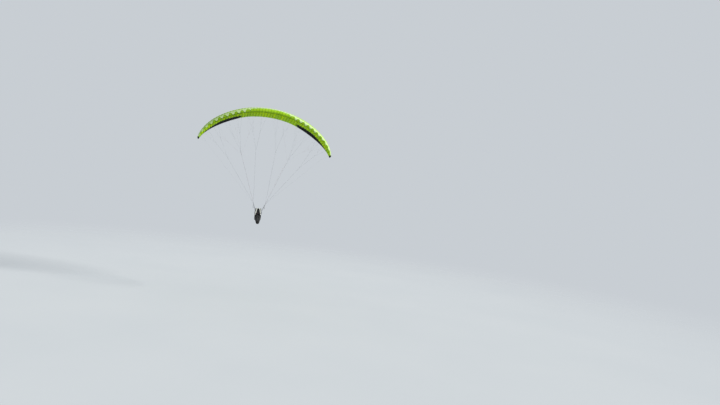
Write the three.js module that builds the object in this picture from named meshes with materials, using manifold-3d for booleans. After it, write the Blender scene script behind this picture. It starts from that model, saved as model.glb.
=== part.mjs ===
// A paraglider: ram-air canopy, line trees, risers and a pod harness that hangs on two carabiners.
// Millimetres. +Z is up, the glider flies towards -Y and the pilot's left is +X.
// The origin is in the canopy, on its chord line, where the air carries it.
import * as THREE from 'three';
import { mergeVertices } from 'three/addons/utils/BufferGeometryUtils.js';
import Module from 'manifold-3d';

const wasm = await Module();
wasm.setup();

// Canopy: plan, arc and profile
const CHORD = 2420;
const TIP_CHORD = 500;
const HALF_ARC = 5430;
const ARC_ROLL = 0.862;
const TIP_CURL = 0.393;
const CURL_POWER = 6;
const CARRY = 0.3;
const NOSE_SWEEP = 0.42;
const TRIM = Math.tan(THREE.MathUtils.degToRad(2));
const HALF_CELLS = 28;
const CELL = HALF_ARC / HALF_CELLS;
const THICKNESS = 0.17;
const CAMBER = 0.035;
const CREST = 0.3;
const TIP_THINNING = 0.5;
const EDGE_HALF = 2;
const BILLOW = 0.11 * CELL;
const WALL = 5;
const JOIN_GAP = 0.4;
const UPPER = [0, 0.008, 0.04, 0.13, 0.3, 0.52, 0.78, 1];
const LOWER = [0, 0.018, 0.065, 0.2, 0.45, 0.72, 1];
const HOLLOW_END = 0.93;
const INTAKE = [0.018, 0.065];
const INTAKE_REACH = 30;
// Brakes lightly on: how far the trailing edge hangs down, from where along the chord and the span
const DROOP = { depth: 80, from: 0.6, middle: 0.62, spread: 0.38 };

// Where the harness hangs, and the hardware above it
const HANG = { x: 225, z: -6850 };
const BAR = 10;
const CARABINER = { width: 62, height: 105, corner: 18 };
const EYE = { inner: 7.95, outer: 11.5, width: 24 };
const RISER = { lean: 170, rise: 440, width: 22, thickness: 3 };
const MAILLON = { width: 22, height: 34, rod: 4 };
const LINE = { upper: 1.2, middle: 1.6, main: 2.4, skinGap: 1.1, mainShare: 0.6, middleShare: 0.52 };
const KNOT = { upper: 4, middle: 5, main: 6 };
const SEAT_GAP = 0.35;

// Line rows: name, place along the chord, riser top forward or aft of the carabiner
const ROWS = [
  { name: 'a', chord: 0.1, riserY: -31 },
  { name: 'b', chord: 0.33, riserY: 5 },
  { name: 'c', chord: 0.62, riserY: 50 },
];
// Ribs that carry lines: each main line holds two middle lines, and each of those two uppers
const MAIN_RIBS = [[[1, 3], [6, 8]], [[10, 12], [15, 17]], [[19, 21], [23, 25]]];
const TIP_RIBS = [26, 27];
const BRAKE_RIBS = [[2, 5, 8], [11, 13, 16], [19, 21, 24]];
const BRAKE_CHORD = 0.985;
const PULLEY = { along: 0.76, aft: 17, radius: 11, thickness: 8 };
const TOGGLE = { width: 104, height: 120, bar: 14, drop: 46 };

const COLOUR = {
  lime: { color: 0x9ccc1c, roughness: 0.6 },
  line: { color: 0x22242a, roughness: 0.6 },
  web: { color: 0x17181a, roughness: 0.8 },
  metal: { color: 0xb4b8bc, roughness: 0.3, metalness: 1 },
  pod: { color: 0x121315, roughness: 0.75 },
  pad: { color: 0x2a2c30, roughness: 0.9 },
  stripe: { color: 0xc9ccd0, roughness: 0.7 },
  plate: { color: 0x303338, roughness: 0.5 },
  grip: { color: 0x1b1c1e, roughness: 0.7 },
  handle: { color: 0xc03018, roughness: 0.7 },
};

const glider = new THREE.Group();

// Shape helpers
function add(name, colour, geometry) {
  const mesh = new THREE.Mesh(geometry, new THREE.MeshStandardMaterial(COLOUR[colour]));
  mesh.name = name;
  glider.add(mesh);
}

// A piece on the pilot's left, and its mirror image on the right
function addPair(name, colour, geometry) {
  add(`${name}_left`, colour, geometry);
  add(`${name}_right`, colour, turned(toGeometry(toSolid(geometry)).scale(-1, 1, 1)));
}

function toSolid(geometry) {
  const bare = geometry.clone();
  bare.deleteAttribute('normal');
  bare.deleteAttribute('uv');
  const merged = mergeVertices(bare, 1e-4);
  const triVerts = new Uint32Array(merged.index.array);
  const vertProperties = new Float32Array(merged.attributes.position.array);
  return new wasm.Manifold(new wasm.Mesh({ numProp: 3, vertProperties, triVerts }));
}

function toGeometry(solid) {
  const mesh = solid.getMesh();
  const geometry = new THREE.BufferGeometry();
  geometry.setAttribute('position', new THREE.BufferAttribute(new Float32Array(mesh.vertProperties), 3));
  geometry.setIndex(new THREE.BufferAttribute(new Uint32Array(mesh.triVerts), 1));
  return geometry;
}

function join(geometries) {
  return toGeometry(geometries.map(toSolid).reduce((whole, piece) => whole.add(piece)));
}

function cut(geometry, ...tools) {
  return toGeometry(tools.map(toSolid).reduce((whole, tool) => whole.subtract(tool), toSolid(geometry)));
}

// A closed skin through rings of equally many points; flat is the ring's outline for its end caps
function loft(rings, flat = null) {
  const count = rings[0].length;
  const positions = rings.flat().flatMap((p) => [p.x, p.y, p.z]);
  const index = [];
  for (let r = 0; r + 1 < rings.length; r += 1) {
    for (let i = 0; i < count; i += 1) {
      const a = r * count + i;
      const b = r * count + (i + 1) % count;
      index.push(a, b, b + count, a, b + count, a + count);
    }
  }
  const last = (rings.length - 1) * count;
  const fan = Array.from({ length: count - 2 }, (_, i) => [0, i + 1, i + 2]);
  const caps = flat ? THREE.ShapeUtils.triangulateShape(flat, []) : fan;
  const clockwise = flat !== null && THREE.ShapeUtils.isClockWise(flat);
  for (const cap of caps) {
    const [a, b, c] = clockwise ? cap.reverse() : cap;
    index.push(c, b, a, last + a, last + b, last + c);
  }
  const geometry = new THREE.BufferGeometry();
  geometry.setAttribute('position', new THREE.Float32BufferAttribute(positions, 3));
  geometry.setIndex(index);
  return volume(geometry) < 0 ? turned(geometry) : geometry;
}

function volume(geometry) {
  const p = geometry.attributes.position;
  const at = (i) => new THREE.Vector3().fromBufferAttribute(p, geometry.index.getX(i));
  let sum = 0;
  for (let i = 0; i < geometry.index.count; i += 3) {
    sum += at(i).dot(at(i + 1).cross(at(i + 2)));
  }
  return sum / 6;
}

function turned(geometry) {
  const index = geometry.index.array;
  for (let i = 0; i < index.length; i += 3) {
    [index[i], index[i + 2]] = [index[i + 2], index[i]];
  }
  return geometry;
}

function bar(from, to, radius, sides = 4) {
  const along = to.clone().sub(from);
  const rod = new THREE.CylinderGeometry(radius, radius, along.length(), sides);
  const turn = new THREE.Quaternion().setFromUnitVectors(new THREE.Vector3(0, 1, 0), along.clone().normalize());
  rod.applyQuaternion(turn);
  const middle = from.clone().add(to).multiplyScalar(0.5);
  return rod.translate(middle.x, middle.y, middle.z);
}

function knot(centre, radius) {
  return new THREE.OctahedronGeometry(radius).translate(centre.x, centre.y, centre.z);
}

function mean(points) {
  return points.reduce((sum, p) => sum.add(p), new THREE.Vector3()).divideScalar(points.length);
}

function between(from, to, share) {
  return from.clone().lerp(to, share);
}

// A flat strap through points: its width lies across X, or across another given direction
function strap(points, width, thickness, across = new THREE.Vector3(1, 0, 0)) {
  const rings = points.map((point, i) => {
    const ahead = points[Math.min(i + 1, points.length - 1)];
    const behind = points[Math.max(i - 1, 0)];
    const along = ahead.clone().sub(behind).normalize();
    const face = along.clone().cross(across).normalize().multiplyScalar(thickness / 2);
    const side = face.clone().cross(along).normalize().multiplyScalar(width / 2);
    return [[1, 1], [1, -1], [-1, -1], [-1, 1]].map(([a, b]) => (
      point.clone().addScaledVector(side, a).addScaledVector(face, b)));
  });
  return loft(rings);
}

// A body whose side outline, in (y, z), runs across X and is smaller at its two sides
function crossBody(outline, halfWidth, round, x = 0) {
  const centre = mean(outline.map(([y, z]) => new THREE.Vector3(0, y, z)));
  const steps = [[-halfWidth, round], [-halfWidth + round, 0], [halfWidth - round, 0], [halfWidth, round]];
  const rings = steps.filter(([, inset], i) => round > 0 || i % 3 === 0).map(([across, inset]) => (
    outline.map(([y, z]) => {
      const point = new THREE.Vector3(0, y, z);
      const reach = centre.clone().sub(point);
      point.addScaledVector(reach, inset / reach.length());
      point.x = x + across;
      return point;
    })));
  return loft(rings, outline.map(([y, z]) => new THREE.Vector2(y, z)));
}

// The canopy's arc, plan and profile
function rollAt(u) {
  return ARC_ROLL * u + TIP_CURL * u ** CURL_POWER;
}

function arcAt(u) {
  const steps = 200;
  let x = 0;
  let z = 0;
  for (let i = 0; i < steps; i += 1) {
    const roll = rollAt(((i + 0.5) / steps) * u);
    x += Math.cos(roll);
    z -= Math.sin(roll);
  }
  const step = (HALF_ARC * u) / steps;
  return { x: x * step, z: z * step };
}

function chordAt(u) {
  return CHORD * Math.sqrt(1 - (1 - (TIP_CHORD / CHORD) ** 2) * u * u);
}

function noseAt(u) {
  return -CARRY * CHORD + NOSE_SWEEP * (CHORD - chordAt(u));
}

function thicknessAt(s, u) {
  const form = 0.2969 * Math.sqrt(s) - 0.126 * s - 0.3516 * s ** 2 + 0.2843 * s ** 3 - 0.1015 * s ** 4;
  return 5 * THICKNESS * (1 - TIP_THINNING * u ** 10) * form;
}

function camberAt(s) {
  if (s < CREST) return (CAMBER / CREST ** 2) * (2 * CREST * s - s * s);
  return (CAMBER / (1 - CREST) ** 2) * (1 - 2 * CREST + 2 * CREST * s - s * s);
}

function droopAt(s, u) {
  const along = Math.max(0, 1 - ((u - DROOP.middle) / DROOP.spread) ** 2) ** 2;
  return DROOP.depth * along * (Math.max(0, s - DROOP.from) / (1 - DROOP.from)) ** 2;
}

// Height of the upper (side 1) or lower (side -1) skin over the chord line, at a rib or at mid cell
function skinHeight(s, side, u, bulge) {
  const stations = side > 0 ? UPPER : LOWER;
  const next = Math.max(1, stations.findIndex((station) => station >= s));
  const heights = [stations[next - 1], stations[next]].map((station) => {
    const swell = Math.min(1, 2 * Math.sqrt(station * (1 - station))) * BILLOW * bulge;
    const edge = station > 0 ? EDGE_HALF : 0;
    const line = chordAt(u) * camberAt(station) - droopAt(station, u);
    return line + side * (chordAt(u) * thicknessAt(station, u) + swell + edge);
  });
  const share = (s - stations[next - 1]) / (stations[next] - stations[next - 1]);
  return heights[0] + (heights[1] - heights[0]) * share;
}

// A point of the canopy: rib is counted from the centre, negative on the pilot's right
function canopyPoint(rib, s, height) {
  const u = Math.abs(rib) / HALF_CELLS;
  const side = Math.sign(rib);
  const arc = arcAt(u);
  const roll = side * rollAt(u);
  const y = noseAt(u) + s * chordAt(u);
  const x = side * arc.x + height * Math.sin(roll);
  return new THREE.Vector3(x, y, arc.z + height * Math.cos(roll) - y * TRIM);
}

function bulgeAt(rib) {
  return 1 - Math.abs(2 * (Math.abs(rib) % 1) - 1);
}

function outerOutline() {
  const top = UPPER.slice(1).reverse().map((s) => [s, 1]);
  return [...top, [0, 1], ...LOWER.slice(1).map((s) => [s, -1])];
}

// The hollow of the cells, with the intake that leads down and out of it under the nose
function innerOutline(open) {
  const top = [HOLLOW_END, ...UPPER.slice(2, -1).reverse()].map((s) => [s, 1, -WALL]);
  const nose = [0.004, 1, 'mid'];
  const throat = [[INTAKE[0], -1, 8], [INTAKE[0], -1, -INTAKE_REACH], [INTAKE[1], -1, -INTAKE_REACH]];
  const floor = [INTAKE[1], ...LOWER.slice(3, -1), HOLLOW_END].map((s) => [s, -1, WALL]);
  return [...top, nose, ...(open ? throat : [[INTAKE[0], -1, WALL]]), ...floor];
}

function canopyRing(rib, outline) {
  const u = Math.abs(rib) / HALF_CELLS;
  return outline.map(([s, side, offset = 0]) => {
    if (offset === 'mid') return canopyPoint(rib, s, 0);
    return canopyPoint(rib, s, skinHeight(s, side, u, bulgeAt(rib)) + offset);
  });
}

function flatRing(rib, outline) {
  const u = Math.abs(rib) / HALF_CELLS;
  return outline.map(([s, side, offset = 0]) => {
    const height = offset === 'mid' ? 0 : skinHeight(s, side, u, bulgeAt(rib)) + offset;
    return new THREE.Vector2(s * chordAt(u), height);
  });
}

function ribsBetween(from, to, inset) {
  const ribs = [from + inset];
  for (let rib = from + 0.5; rib < to; rib += 0.5) ribs.push(rib);
  return [...ribs, to - inset];
}

function canopySection(from, to, open) {
  const outline = outerOutline();
  const hollow = innerOutline(open);
  const gap = JOIN_GAP / 2 / CELL;
  const outerRibs = ribsBetween(from, to, gap);
  const wall = (WALL + JOIN_GAP / 2) / CELL;
  const innerRibs = ribsBetween(from, to, wall);
  if (!open) {
    // closed tip cells: the hollow ends one cell before the tip and is open towards the next section
    innerRibs.splice(-2);
    innerRibs[0] = from - wall;
  }
  const skin = loft(outerRibs.map((rib) => canopyRing(rib, outline)), flatRing(from, outline));
  const room = loft(innerRibs.map((rib) => canopyRing(rib, hollow)), flatRing(from, hollow));
  return cut(skin, room);
}

const SECTIONS = [
  { name: 'inner', from: 4, to: 9 },
  { name: 'middle', from: 9, to: 14 },
  { name: 'outer', from: 14, to: 18 },
  { name: 'shoulder', from: 18, to: 22 },
  { name: 'tip', from: 22, to: HALF_CELLS },
];
add('canopy_centre', 'lime', canopySection(-4, 4, true));
for (const { name, from, to } of SECTIONS) {
  addPair(`canopy_${name}`, 'lime', canopySection(from, to, to < HALF_CELLS));
}

// Risers and their hardware on the pilot's left; the right side is their mirror image
function hangPoint(x = 0, y = 0, z = 0) {
  return new THREE.Vector3(HANG.x + x, y, HANG.z + z);
}

function ringPlate(width, height, corner, rod, depth) {
  const outline = (shape, w, h, r) => {
    shape.moveTo(-w / 2 + r, -h / 2);
    shape.lineTo(w / 2 - r, -h / 2);
    shape.absarc(w / 2 - r, -h / 2 + r, r, -Math.PI / 2, 0);
    shape.absarc(w / 2 - r, h / 2 - r, r, 0, Math.PI / 2);
    shape.absarc(-w / 2 + r, h / 2 - r, r, Math.PI / 2, Math.PI);
    shape.absarc(-w / 2 + r, -h / 2 + r, r, Math.PI, Math.PI * 1.5);
    return shape;
  };
  const plate = outline(new THREE.Shape(), width, height, corner);
  plate.holes.push(outline(new THREE.Path(), width - 2 * rod, height - 2 * rod, Math.max(2, corner - rod)));
  const curveSegments = corner > 10 ? 2 : 1;
  const geometry = new THREE.ExtrudeGeometry(plate, { depth, bevelEnabled: false, curveSegments });
  return geometry.translate(0, 0, -depth / 2).rotateX(Math.PI / 2);
}

function eyeRing(centre) {
  const tube = (radius, length) => new THREE.CylinderGeometry(radius, radius, length, 8).rotateZ(Math.PI / 2);
  const ring = cut(tube(EYE.outer, EYE.width), tube(EYE.inner, EYE.width + 10));
  return ring.translate(centre.x, centre.y, centre.z);
}

const riserBase = hangPoint(0, 0, CARABINER.height - BAR);

function riserTop(row) {
  return hangPoint(RISER.lean, row.riserY, CARABINER.height - BAR + RISER.rise);
}

function riserAlong(row) {
  return riserTop(row).sub(riserBase).normalize();
}

const carabinerCentre = hangPoint(0, 0, CARABINER.height / 2 - BAR / 2);
addPair('carabiner', 'metal', ringPlate(CARABINER.width, CARABINER.height, CARABINER.corner, BAR, BAR)
  .translate(carabinerCentre.x, carabinerCentre.y, carabinerCentre.z));

const riserStraps = ROWS.map((row) => {
  const start = riserBase.clone().addScaledVector(riserAlong(row), (EYE.inner + EYE.outer) / 2);
  return strap([start, riserTop(row)], RISER.width, RISER.thickness);
});
addPair('riser', 'web', join([eyeRing(riserBase), ...riserStraps]));

for (const row of ROWS) {
  const along = riserAlong(row);
  const across = new THREE.Vector3(along.z, 0, -along.x).normalize();
  const through = across.clone().cross(along).negate();
  const turn = new THREE.Matrix4().makeBasis(across, through, along);
  const seat = riserTop(row).addScaledVector(along, MAILLON.height / 2 + SEAT_GAP);
  const plate = ringPlate(MAILLON.width, MAILLON.height, 7, MAILLON.rod, MAILLON.rod);
  addPair(`maillon_${row.name}`, 'metal', plate.applyMatrix4(turn).translate(seat.x, seat.y, seat.z));
}

// Lines: each row is one tree that grows out of a knot on its maillon
function skinEnd(rib, s, towards) {
  const point = canopyPoint(rib, s, skinHeight(s, -1, rib / HALF_CELLS, bulgeAt(rib)));
  return point.addScaledVector(towards.clone().sub(point).normalize(), LINE.skinGap);
}

// One main line and the middle and upper lines that branch from it
function lineBranch(foot, groups, chord) {
  const skinAt = (rib) => skinEnd(rib, chord, foot);
  const fork = between(foot, mean(groups.flat().map(skinAt)), LINE.mainShare);
  const pieces = [bar(foot, fork, LINE.main), knot(fork, KNOT.middle)];
  for (const group of groups) {
    const split = between(fork, mean(group.map(skinAt)), LINE.middleShare);
    pieces.push(bar(fork, split, LINE.middle, 3), knot(split, KNOT.upper));
    for (const rib of group) pieces.push(bar(split, skinEnd(rib, chord, split), LINE.upper, 3));
  }
  return pieces;
}

for (const row of ROWS) {
  const foot = riserTop(row).addScaledVector(riserAlong(row), MAILLON.height + KNOT.main + 2 * SEAT_GAP);
  const pieces = MAIN_RIBS.flatMap((groups) => lineBranch(foot, groups, row.chord));
  if (row.name === 'b') pieces.push(...lineBranch(foot, [TIP_RIBS], row.chord));
  addPair(`lines_${row.name}`, 'line', join([knot(foot, KNOT.main), ...pieces]));
}

// Brake: pulley on the rear riser, line fan to the trailing edge, and the toggle below the pulley
const pulleyCentre = between(riserBase, riserTop(ROWS[2]), PULLEY.along).add(new THREE.Vector3(0, PULLEY.aft, 0));
const pulley = new THREE.CylinderGeometry(PULLEY.radius, PULLEY.radius, PULLEY.thickness, 10);
pulley.rotateZ(Math.PI / 2).translate(pulleyCentre.x, pulleyCentre.y, pulleyCentre.z);
addPair('brake_pulley', 'metal', pulley);

const brakeFoot = pulleyCentre.clone().add(new THREE.Vector3(0, 0, PULLEY.radius + KNOT.middle + SEAT_GAP));
addPair('lines_brake', 'line', join([
  knot(brakeFoot, KNOT.middle), ...lineBranch(brakeFoot, BRAKE_RIBS, BRAKE_CHORD),
]));

const stubTop = pulleyCentre.clone().add(new THREE.Vector3(0, 0, -PULLEY.radius - SEAT_GAP));
const loopTop = stubTop.clone().add(new THREE.Vector3(0, 0, -TOGGLE.drop));
const handLoop = ringPlate(TOGGLE.width, TOGGLE.height, 30, TOGGLE.bar, TOGGLE.bar);
handLoop.translate(loopTop.x, loopTop.y, loopTop.z - TOGGLE.height / 2 + 2);
addPair('brake_toggle', 'grip', join([handLoop, bar(loopTop, stubTop, LINE.main)]));

// Harness: side outlines in (y, z) from the carabiners' axis
const SHELL = { half: 212, round: 24, wall: 12 };
const below = (outline) => outline.map(([y, z]) => [y, HANG.z + z]);
const SHELL_OUTLINE = [
  [-190, -560], [110, -600], [242, -528], [322, -300], [392, -50], [415, 180],
  [404, 250], [352, 130], [225, -80], [60, -250], [-190, -290],
];
const SHELL_ROOM = [
  [-300, -535], [120, -535], [215, -475], [295, -290], [365, -50], [388, 170], [388, 400], [-300, 400],
];
const shellRoom = crossBody(below(SHELL_ROOM), SHELL.half - SHELL.wall, 0);
add('harness_shell', 'pod', cut(crossBody(below(SHELL_OUTLINE), SHELL.half, SHELL.round), shellRoom));

// Leg pod: rings with columns y, z, half width, half height
const POD_RINGS = [[-190.5, -425, 207, 138], [-420, -478, 186, 132], [-660, -586, 148, 114], [-880, -684, 112, 110]];
const POD_NOSE = [-902, -690, 88, 86];
const POD_WALL = 14;
const POD_SIDES = 14;

function podRing([y, z, halfWidth, halfHeight], inset = 0, shift = 0) {
  return Array.from({ length: POD_SIDES }, (_, i) => {
    const angle = (i / POD_SIDES) * 2 * Math.PI;
    const soften = (value) => Math.sign(value) * Math.abs(value) ** 0.82;
    const x = (halfWidth - inset) * soften(Math.sin(angle));
    const up = (halfHeight - inset) * soften(Math.cos(angle));
    return new THREE.Vector3(x, y + shift, HANG.z + z + up);
  });
}

const podSkin = loft([...POD_RINGS, POD_NOSE].map((ring) => podRing(ring)));
const podRoom = loft([
  podRing(POD_RINGS[0], POD_WALL, 20),
  ...POD_RINGS.slice(0, 3).map((ring) => podRing(ring, POD_WALL)),
  podRing(POD_RINGS[3], POD_WALL, POD_WALL),
]);
add('leg_pod', 'pod', cut(podSkin, podRoom));

// Inside the harness
const FOOT_PLATE = { y: -850, thickness: 14 };
function roomRing(y, gap) {
  const near = POD_RINGS[2];
  const far = [POD_RINGS[3][0] + POD_WALL, ...POD_RINGS[3].slice(1)];
  const share = (y - near[0]) / (far[0] - near[0]);
  return podRing(near.map((value, i) => value + (far[i] - value) * share), POD_WALL + gap);
}
add('foot_plate', 'plate', loft([
  roomRing(FOOT_PLATE.y - FOOT_PLATE.thickness / 2, 0.9), roomRing(FOOT_PLATE.y + FOOT_PLATE.thickness / 2, 4),
]));

const BOARD = { from: -170, to: 110, half: 165, bottom: -534.6, thickness: 9 };
add('seat_board', 'plate', new THREE.BoxGeometry(2 * BOARD.half, BOARD.to - BOARD.from, BOARD.thickness)
  .translate(0, (BOARD.from + BOARD.to) / 2, HANG.z + BOARD.bottom + BOARD.thickness / 2));

const CUSHION_TOP = -496;
const cushionBottom = BOARD.bottom + BOARD.thickness + 0.4;
add('seat_cushion', 'pad', crossBody(below([
  [BOARD.from, cushionBottom], [BOARD.to, cushionBottom], [BOARD.to, CUSHION_TOP], [BOARD.from, CUSHION_TOP],
]), BOARD.half, 8));

const BACK_PAD = [
  [222.2, -456.5], [294.2, -290], [364.2, -50], [385.6, 155],
  [358, 160], [338, -42], [268, -280], [200, -448],
];
add('back_pad', 'pad', crossBody(below(BACK_PAD), 150, 10));

const HEADREST = [[387.5, 178], [387.5, 206], [366, 216], [352, 196], [362, 176]];
add('headrest', 'pad', crossBody(below(HEADREST), 42, 8));

// Outside the shell: rear pocket, reserve under the seat with its handle, and the cockpit deck
const REAR_POCKET = [[322.6, -300], [392.6, -50], [409.4, 118], [426, 112], [447, -40], [430, -215], [372, -312]];
add('rear_pocket', 'pod', crossBody(below(REAR_POCKET), 150, 26));

const RESERVE = { half: 128, outline: [[-170, -563.2], [80, -596.6], [80, -648], [40, -662], [-130, -646], [-170, -626]] };
add('reserve_container', 'pod', crossBody(below(RESERVE.outline), RESERVE.half, 14));

const HANDLE = { length: 110, height: 34, thickness: 8 };
add('reserve_handle', 'handle', new THREE.BoxGeometry(HANDLE.thickness, HANDLE.length, HANDLE.height)
  .translate(-RESERVE.half - HANDLE.thickness / 2 - 0.4, -60, HANG.z - 613));

const DECK = [[-408, -342.4], [-215, -292.8], [-212, -272], [-350, -226], [-388, -238]];
add('cockpit_deck', 'pod', crossBody(below(DECK), 122, 14));

// Webbing that carries the pilot
const WEB = { width: 24.8, thickness: 4, fork: [0, -230], rear: [165, -430], front: [-130, -430] };
const SHOULDER = { width: 60, thickness: 5 };
// columns: x, y, z of the left shoulder strap
const SHOULDER_PATH = [
  [80, 385, 172], [80, 378, 213], [88, 332, 234], [104, 240, 197], [126, 150, 105],
  [150, 80, -20], [170, 38, -130], [181.5, 12, -222],
];
const CHEST = { z: -110, height: 25, thickness: 4, half: 237 };
const BUCKLE = { width: 62, height: 36, thickness: 9 };

const at = (y, z) => hangPoint(0, y, z);
const webTop = at(0, -(EYE.inner + EYE.outer) / 2);
const fork = at(...WEB.fork);
const webs = [[webTop, fork], [fork, at(...WEB.rear)], [fork, at(...WEB.front)]];
addPair('hang_web', 'web', join([
  eyeRing(at(0, 0)), ...webs.map((points) => strap(points, WEB.width, WEB.thickness)),
]));

const shoulderPath = SHOULDER_PATH.map(([x, y, z]) => new THREE.Vector3(x, y, HANG.z + z));
addPair('shoulder_strap', 'stripe', strap(shoulderPath, SHOULDER.width, SHOULDER.thickness));

const chestY = -WEB.thickness / 2 - CHEST.thickness / 2 - 0.4;
add('chest_strap', 'web', new THREE.BoxGeometry(2 * CHEST.half, CHEST.thickness, CHEST.height)
  .translate(0, chestY, HANG.z + CHEST.z));
const buckleY = chestY - CHEST.thickness / 2 - BUCKLE.thickness / 2 - 0.4;
add('chest_buckle', 'grip', new THREE.BoxGeometry(BUCKLE.width, BUCKLE.thickness, BUCKLE.height)
  .translate(0, buckleY, HANG.z + CHEST.z));

export default glider;
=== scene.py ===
"""The looks of a paraglider: ram-air canopy, lines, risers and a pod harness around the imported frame.
Metres, +Z up. The glider flies towards -Y and the pilot's left is +X."""

import math

import bmesh
import bpy
import numpy as np
from mathutils import Matrix, Vector, noise
from mathutils.bvhtree import BVHTree


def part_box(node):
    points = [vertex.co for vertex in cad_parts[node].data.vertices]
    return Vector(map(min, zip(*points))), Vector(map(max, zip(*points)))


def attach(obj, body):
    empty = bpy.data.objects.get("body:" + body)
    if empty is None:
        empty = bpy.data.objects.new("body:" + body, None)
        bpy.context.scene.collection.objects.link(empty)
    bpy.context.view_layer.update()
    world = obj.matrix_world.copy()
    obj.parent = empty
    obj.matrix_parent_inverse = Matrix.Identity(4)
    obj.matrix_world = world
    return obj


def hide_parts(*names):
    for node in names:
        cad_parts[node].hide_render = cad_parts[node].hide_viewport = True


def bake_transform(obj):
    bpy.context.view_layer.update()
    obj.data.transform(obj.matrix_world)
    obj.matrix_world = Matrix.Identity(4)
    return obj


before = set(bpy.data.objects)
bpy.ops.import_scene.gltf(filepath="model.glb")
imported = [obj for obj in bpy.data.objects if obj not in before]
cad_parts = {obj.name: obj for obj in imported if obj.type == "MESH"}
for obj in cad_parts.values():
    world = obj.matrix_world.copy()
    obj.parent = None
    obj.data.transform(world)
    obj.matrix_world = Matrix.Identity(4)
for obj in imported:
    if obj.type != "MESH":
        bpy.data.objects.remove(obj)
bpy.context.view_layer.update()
MM = 0.001
SIDES = (("left", 1), ("right", -1))

# Camera, as fitted to the canopy's outline and the hang point in the 720 x 405 frame
CAMERA_PLACE = (-1.516, -36.47, -5.727)
CAMERA_YAW = 0.2313
CAMERA_PITCH = 0.0103
CAMERA_ROLL = 0.122
CAMERA_LENS = 26
CAMERA_SENSOR = 36

# Canopy, as in the CAD source
CHORD = 2.42
TIP_CHORD = 0.5
HALF_ARC = 5.43
ARC_ROLL = 0.862
TIP_CURL = 0.393
CURL_POWER = 6
CARRY = 0.3
NOSE_SWEEP = 0.42
TRIM = math.tan(math.radians(2))
HALF_CELLS = 28
CELL = HALF_ARC / HALF_CELLS
THICKNESS = 0.17
CAMBER = 0.035
CREST = 0.3
TIP_THINNING = 0.5
EDGE_HALF = 0.0012
BILLOW = 0.11 * CELL
OPEN_CELLS = 22
INTAKE_MIDDLE = 0.0415
INTAKE_HALF = 0.0235
INTAKE_SHARE = 0.74
LIP_GAP_AT_RIB = 0.04
DROOP = {"depth": 0.08, "from": 0.6, "middle": 0.62, "spread": 0.38}


def smooth_step(low, high, value):
    """0 below low, 1 above high, and smooth between."""
    share = np.clip((value - low) / (high - low), 0, 1)
    return share * share * (3 - 2 * share)


def signed_power(value, power):
    """The power of a value's size, with the value's sign."""
    return np.sign(value) * np.abs(value) ** power


def turns(count):
    """Angles of evenly spread points round a circle."""
    return np.arange(count) * 2 * math.pi / count


# Mesh building

class Build:
    """Collects many small shapes into one mesh, with a material number for each face."""

    def __init__(self, name, side=1):
        self.name = name
        self.side = side
        self.points = []
        self.faces = []
        self.slots = []
        self.count = 0

    def add(self, shape, slot=0):
        """Adds a shape, or on side -1 its mirror image."""
        points, faces = shape
        points = np.asarray(points, float)
        if self.side < 0:
            points = points * (-1, 1, 1)
            faces = [tuple(reversed(face)) for face in faces]
        self.points.append(points)
        self.faces += [tuple(i + self.count for i in face) for face in faces]
        self.slots += [slot] * len(faces)
        self.count += len(points)

    def make(self, *materials, smooth=True):
        mesh = bpy.data.meshes.new(self.name)
        mesh.from_pydata(np.concatenate(self.points).tolist(), [], self.faces)
        for material in materials:
            mesh.materials.append(material)
        mesh.polygons.foreach_set("material_index", self.slots)
        mesh.update()
        if smooth:
            mesh.shade_smooth()
        obj = bpy.data.objects.new(self.name, mesh)
        bpy.context.scene.collection.objects.link(obj)
        return obj

    def piece(self, materials, body, slot, *nodes, fill=None):
        obj = self.make(*(MATERIALS[name] for name in materials.split()))
        return told(obj, body, slot, *nodes, fill=fill)


def told(obj, body, slot, *nodes, fill=None):
    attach(obj, body)
    if nodes:
        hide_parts(*nodes)
    return obj


def single(name, shape, material, smooth=True):
    build = Build(name)
    build.add(shape)
    return build.make(material, smooth=smooth)


def grid(rows, round_columns=False):
    """A skin over rows of points: an array of shape (rows, columns, 3)."""
    rows = np.asarray(rows, float)
    height, width = rows.shape[:2]
    last = width if round_columns else width - 1
    faces = [
        (r * width + c, r * width + (c + 1) % width, (r + 1) * width + (c + 1) % width, (r + 1) * width + c)
        for r in range(height - 1)
        for c in range(last)
    ]
    return rows.reshape(-1, 3), faces


def loft(rings, closed=False):
    """A body through rings of equally many points: closed into itself, or with a fan on each end."""
    count = len(rings[0])
    if closed:
        points, faces = grid(np.concatenate([rings, rings[:1]]), round_columns=True)
        kept = len(points) - count
        return points[:kept], [tuple(i % kept for i in face) for face in faces]
    points, faces = grid(rings, round_columns=True)
    first = len(points)
    base = first - count
    for i in range(count):
        j = (i + 1) % count
        faces += [(j, i, first), (base + i, base + j, first + 1)]
    return np.concatenate([points, [np.mean(rings[0], axis=0), np.mean(rings[-1], axis=0)]]), faces


def unit(vectors):
    vectors = np.asarray(vectors, float)
    return vectors / np.maximum(np.linalg.norm(vectors, axis=-1, keepdims=True), 1e-12)


def tangents(path, closed=False):
    """The direction of a path at each of its points."""
    if closed:
        return unit(np.roll(path, -1, axis=0) - np.roll(path, 1, axis=0))
    return unit(np.gradient(np.asarray(path, float), axis=0))


def frames_along(path, closed):
    """Two directions across a path at each of its points, which don't twist along it."""
    along = tangents(path, closed)
    start = np.cross(along[0], (0, 0, 1))
    if np.linalg.norm(start) < 0.2:
        start = np.cross(along[0], (0, 1, 0))
    sides = [unit(start)]
    for direction in along[1:]:
        sides.append(unit(sides[-1] - direction * np.dot(sides[-1], direction)))
    return np.array(sides), np.cross(along, sides)


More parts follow.
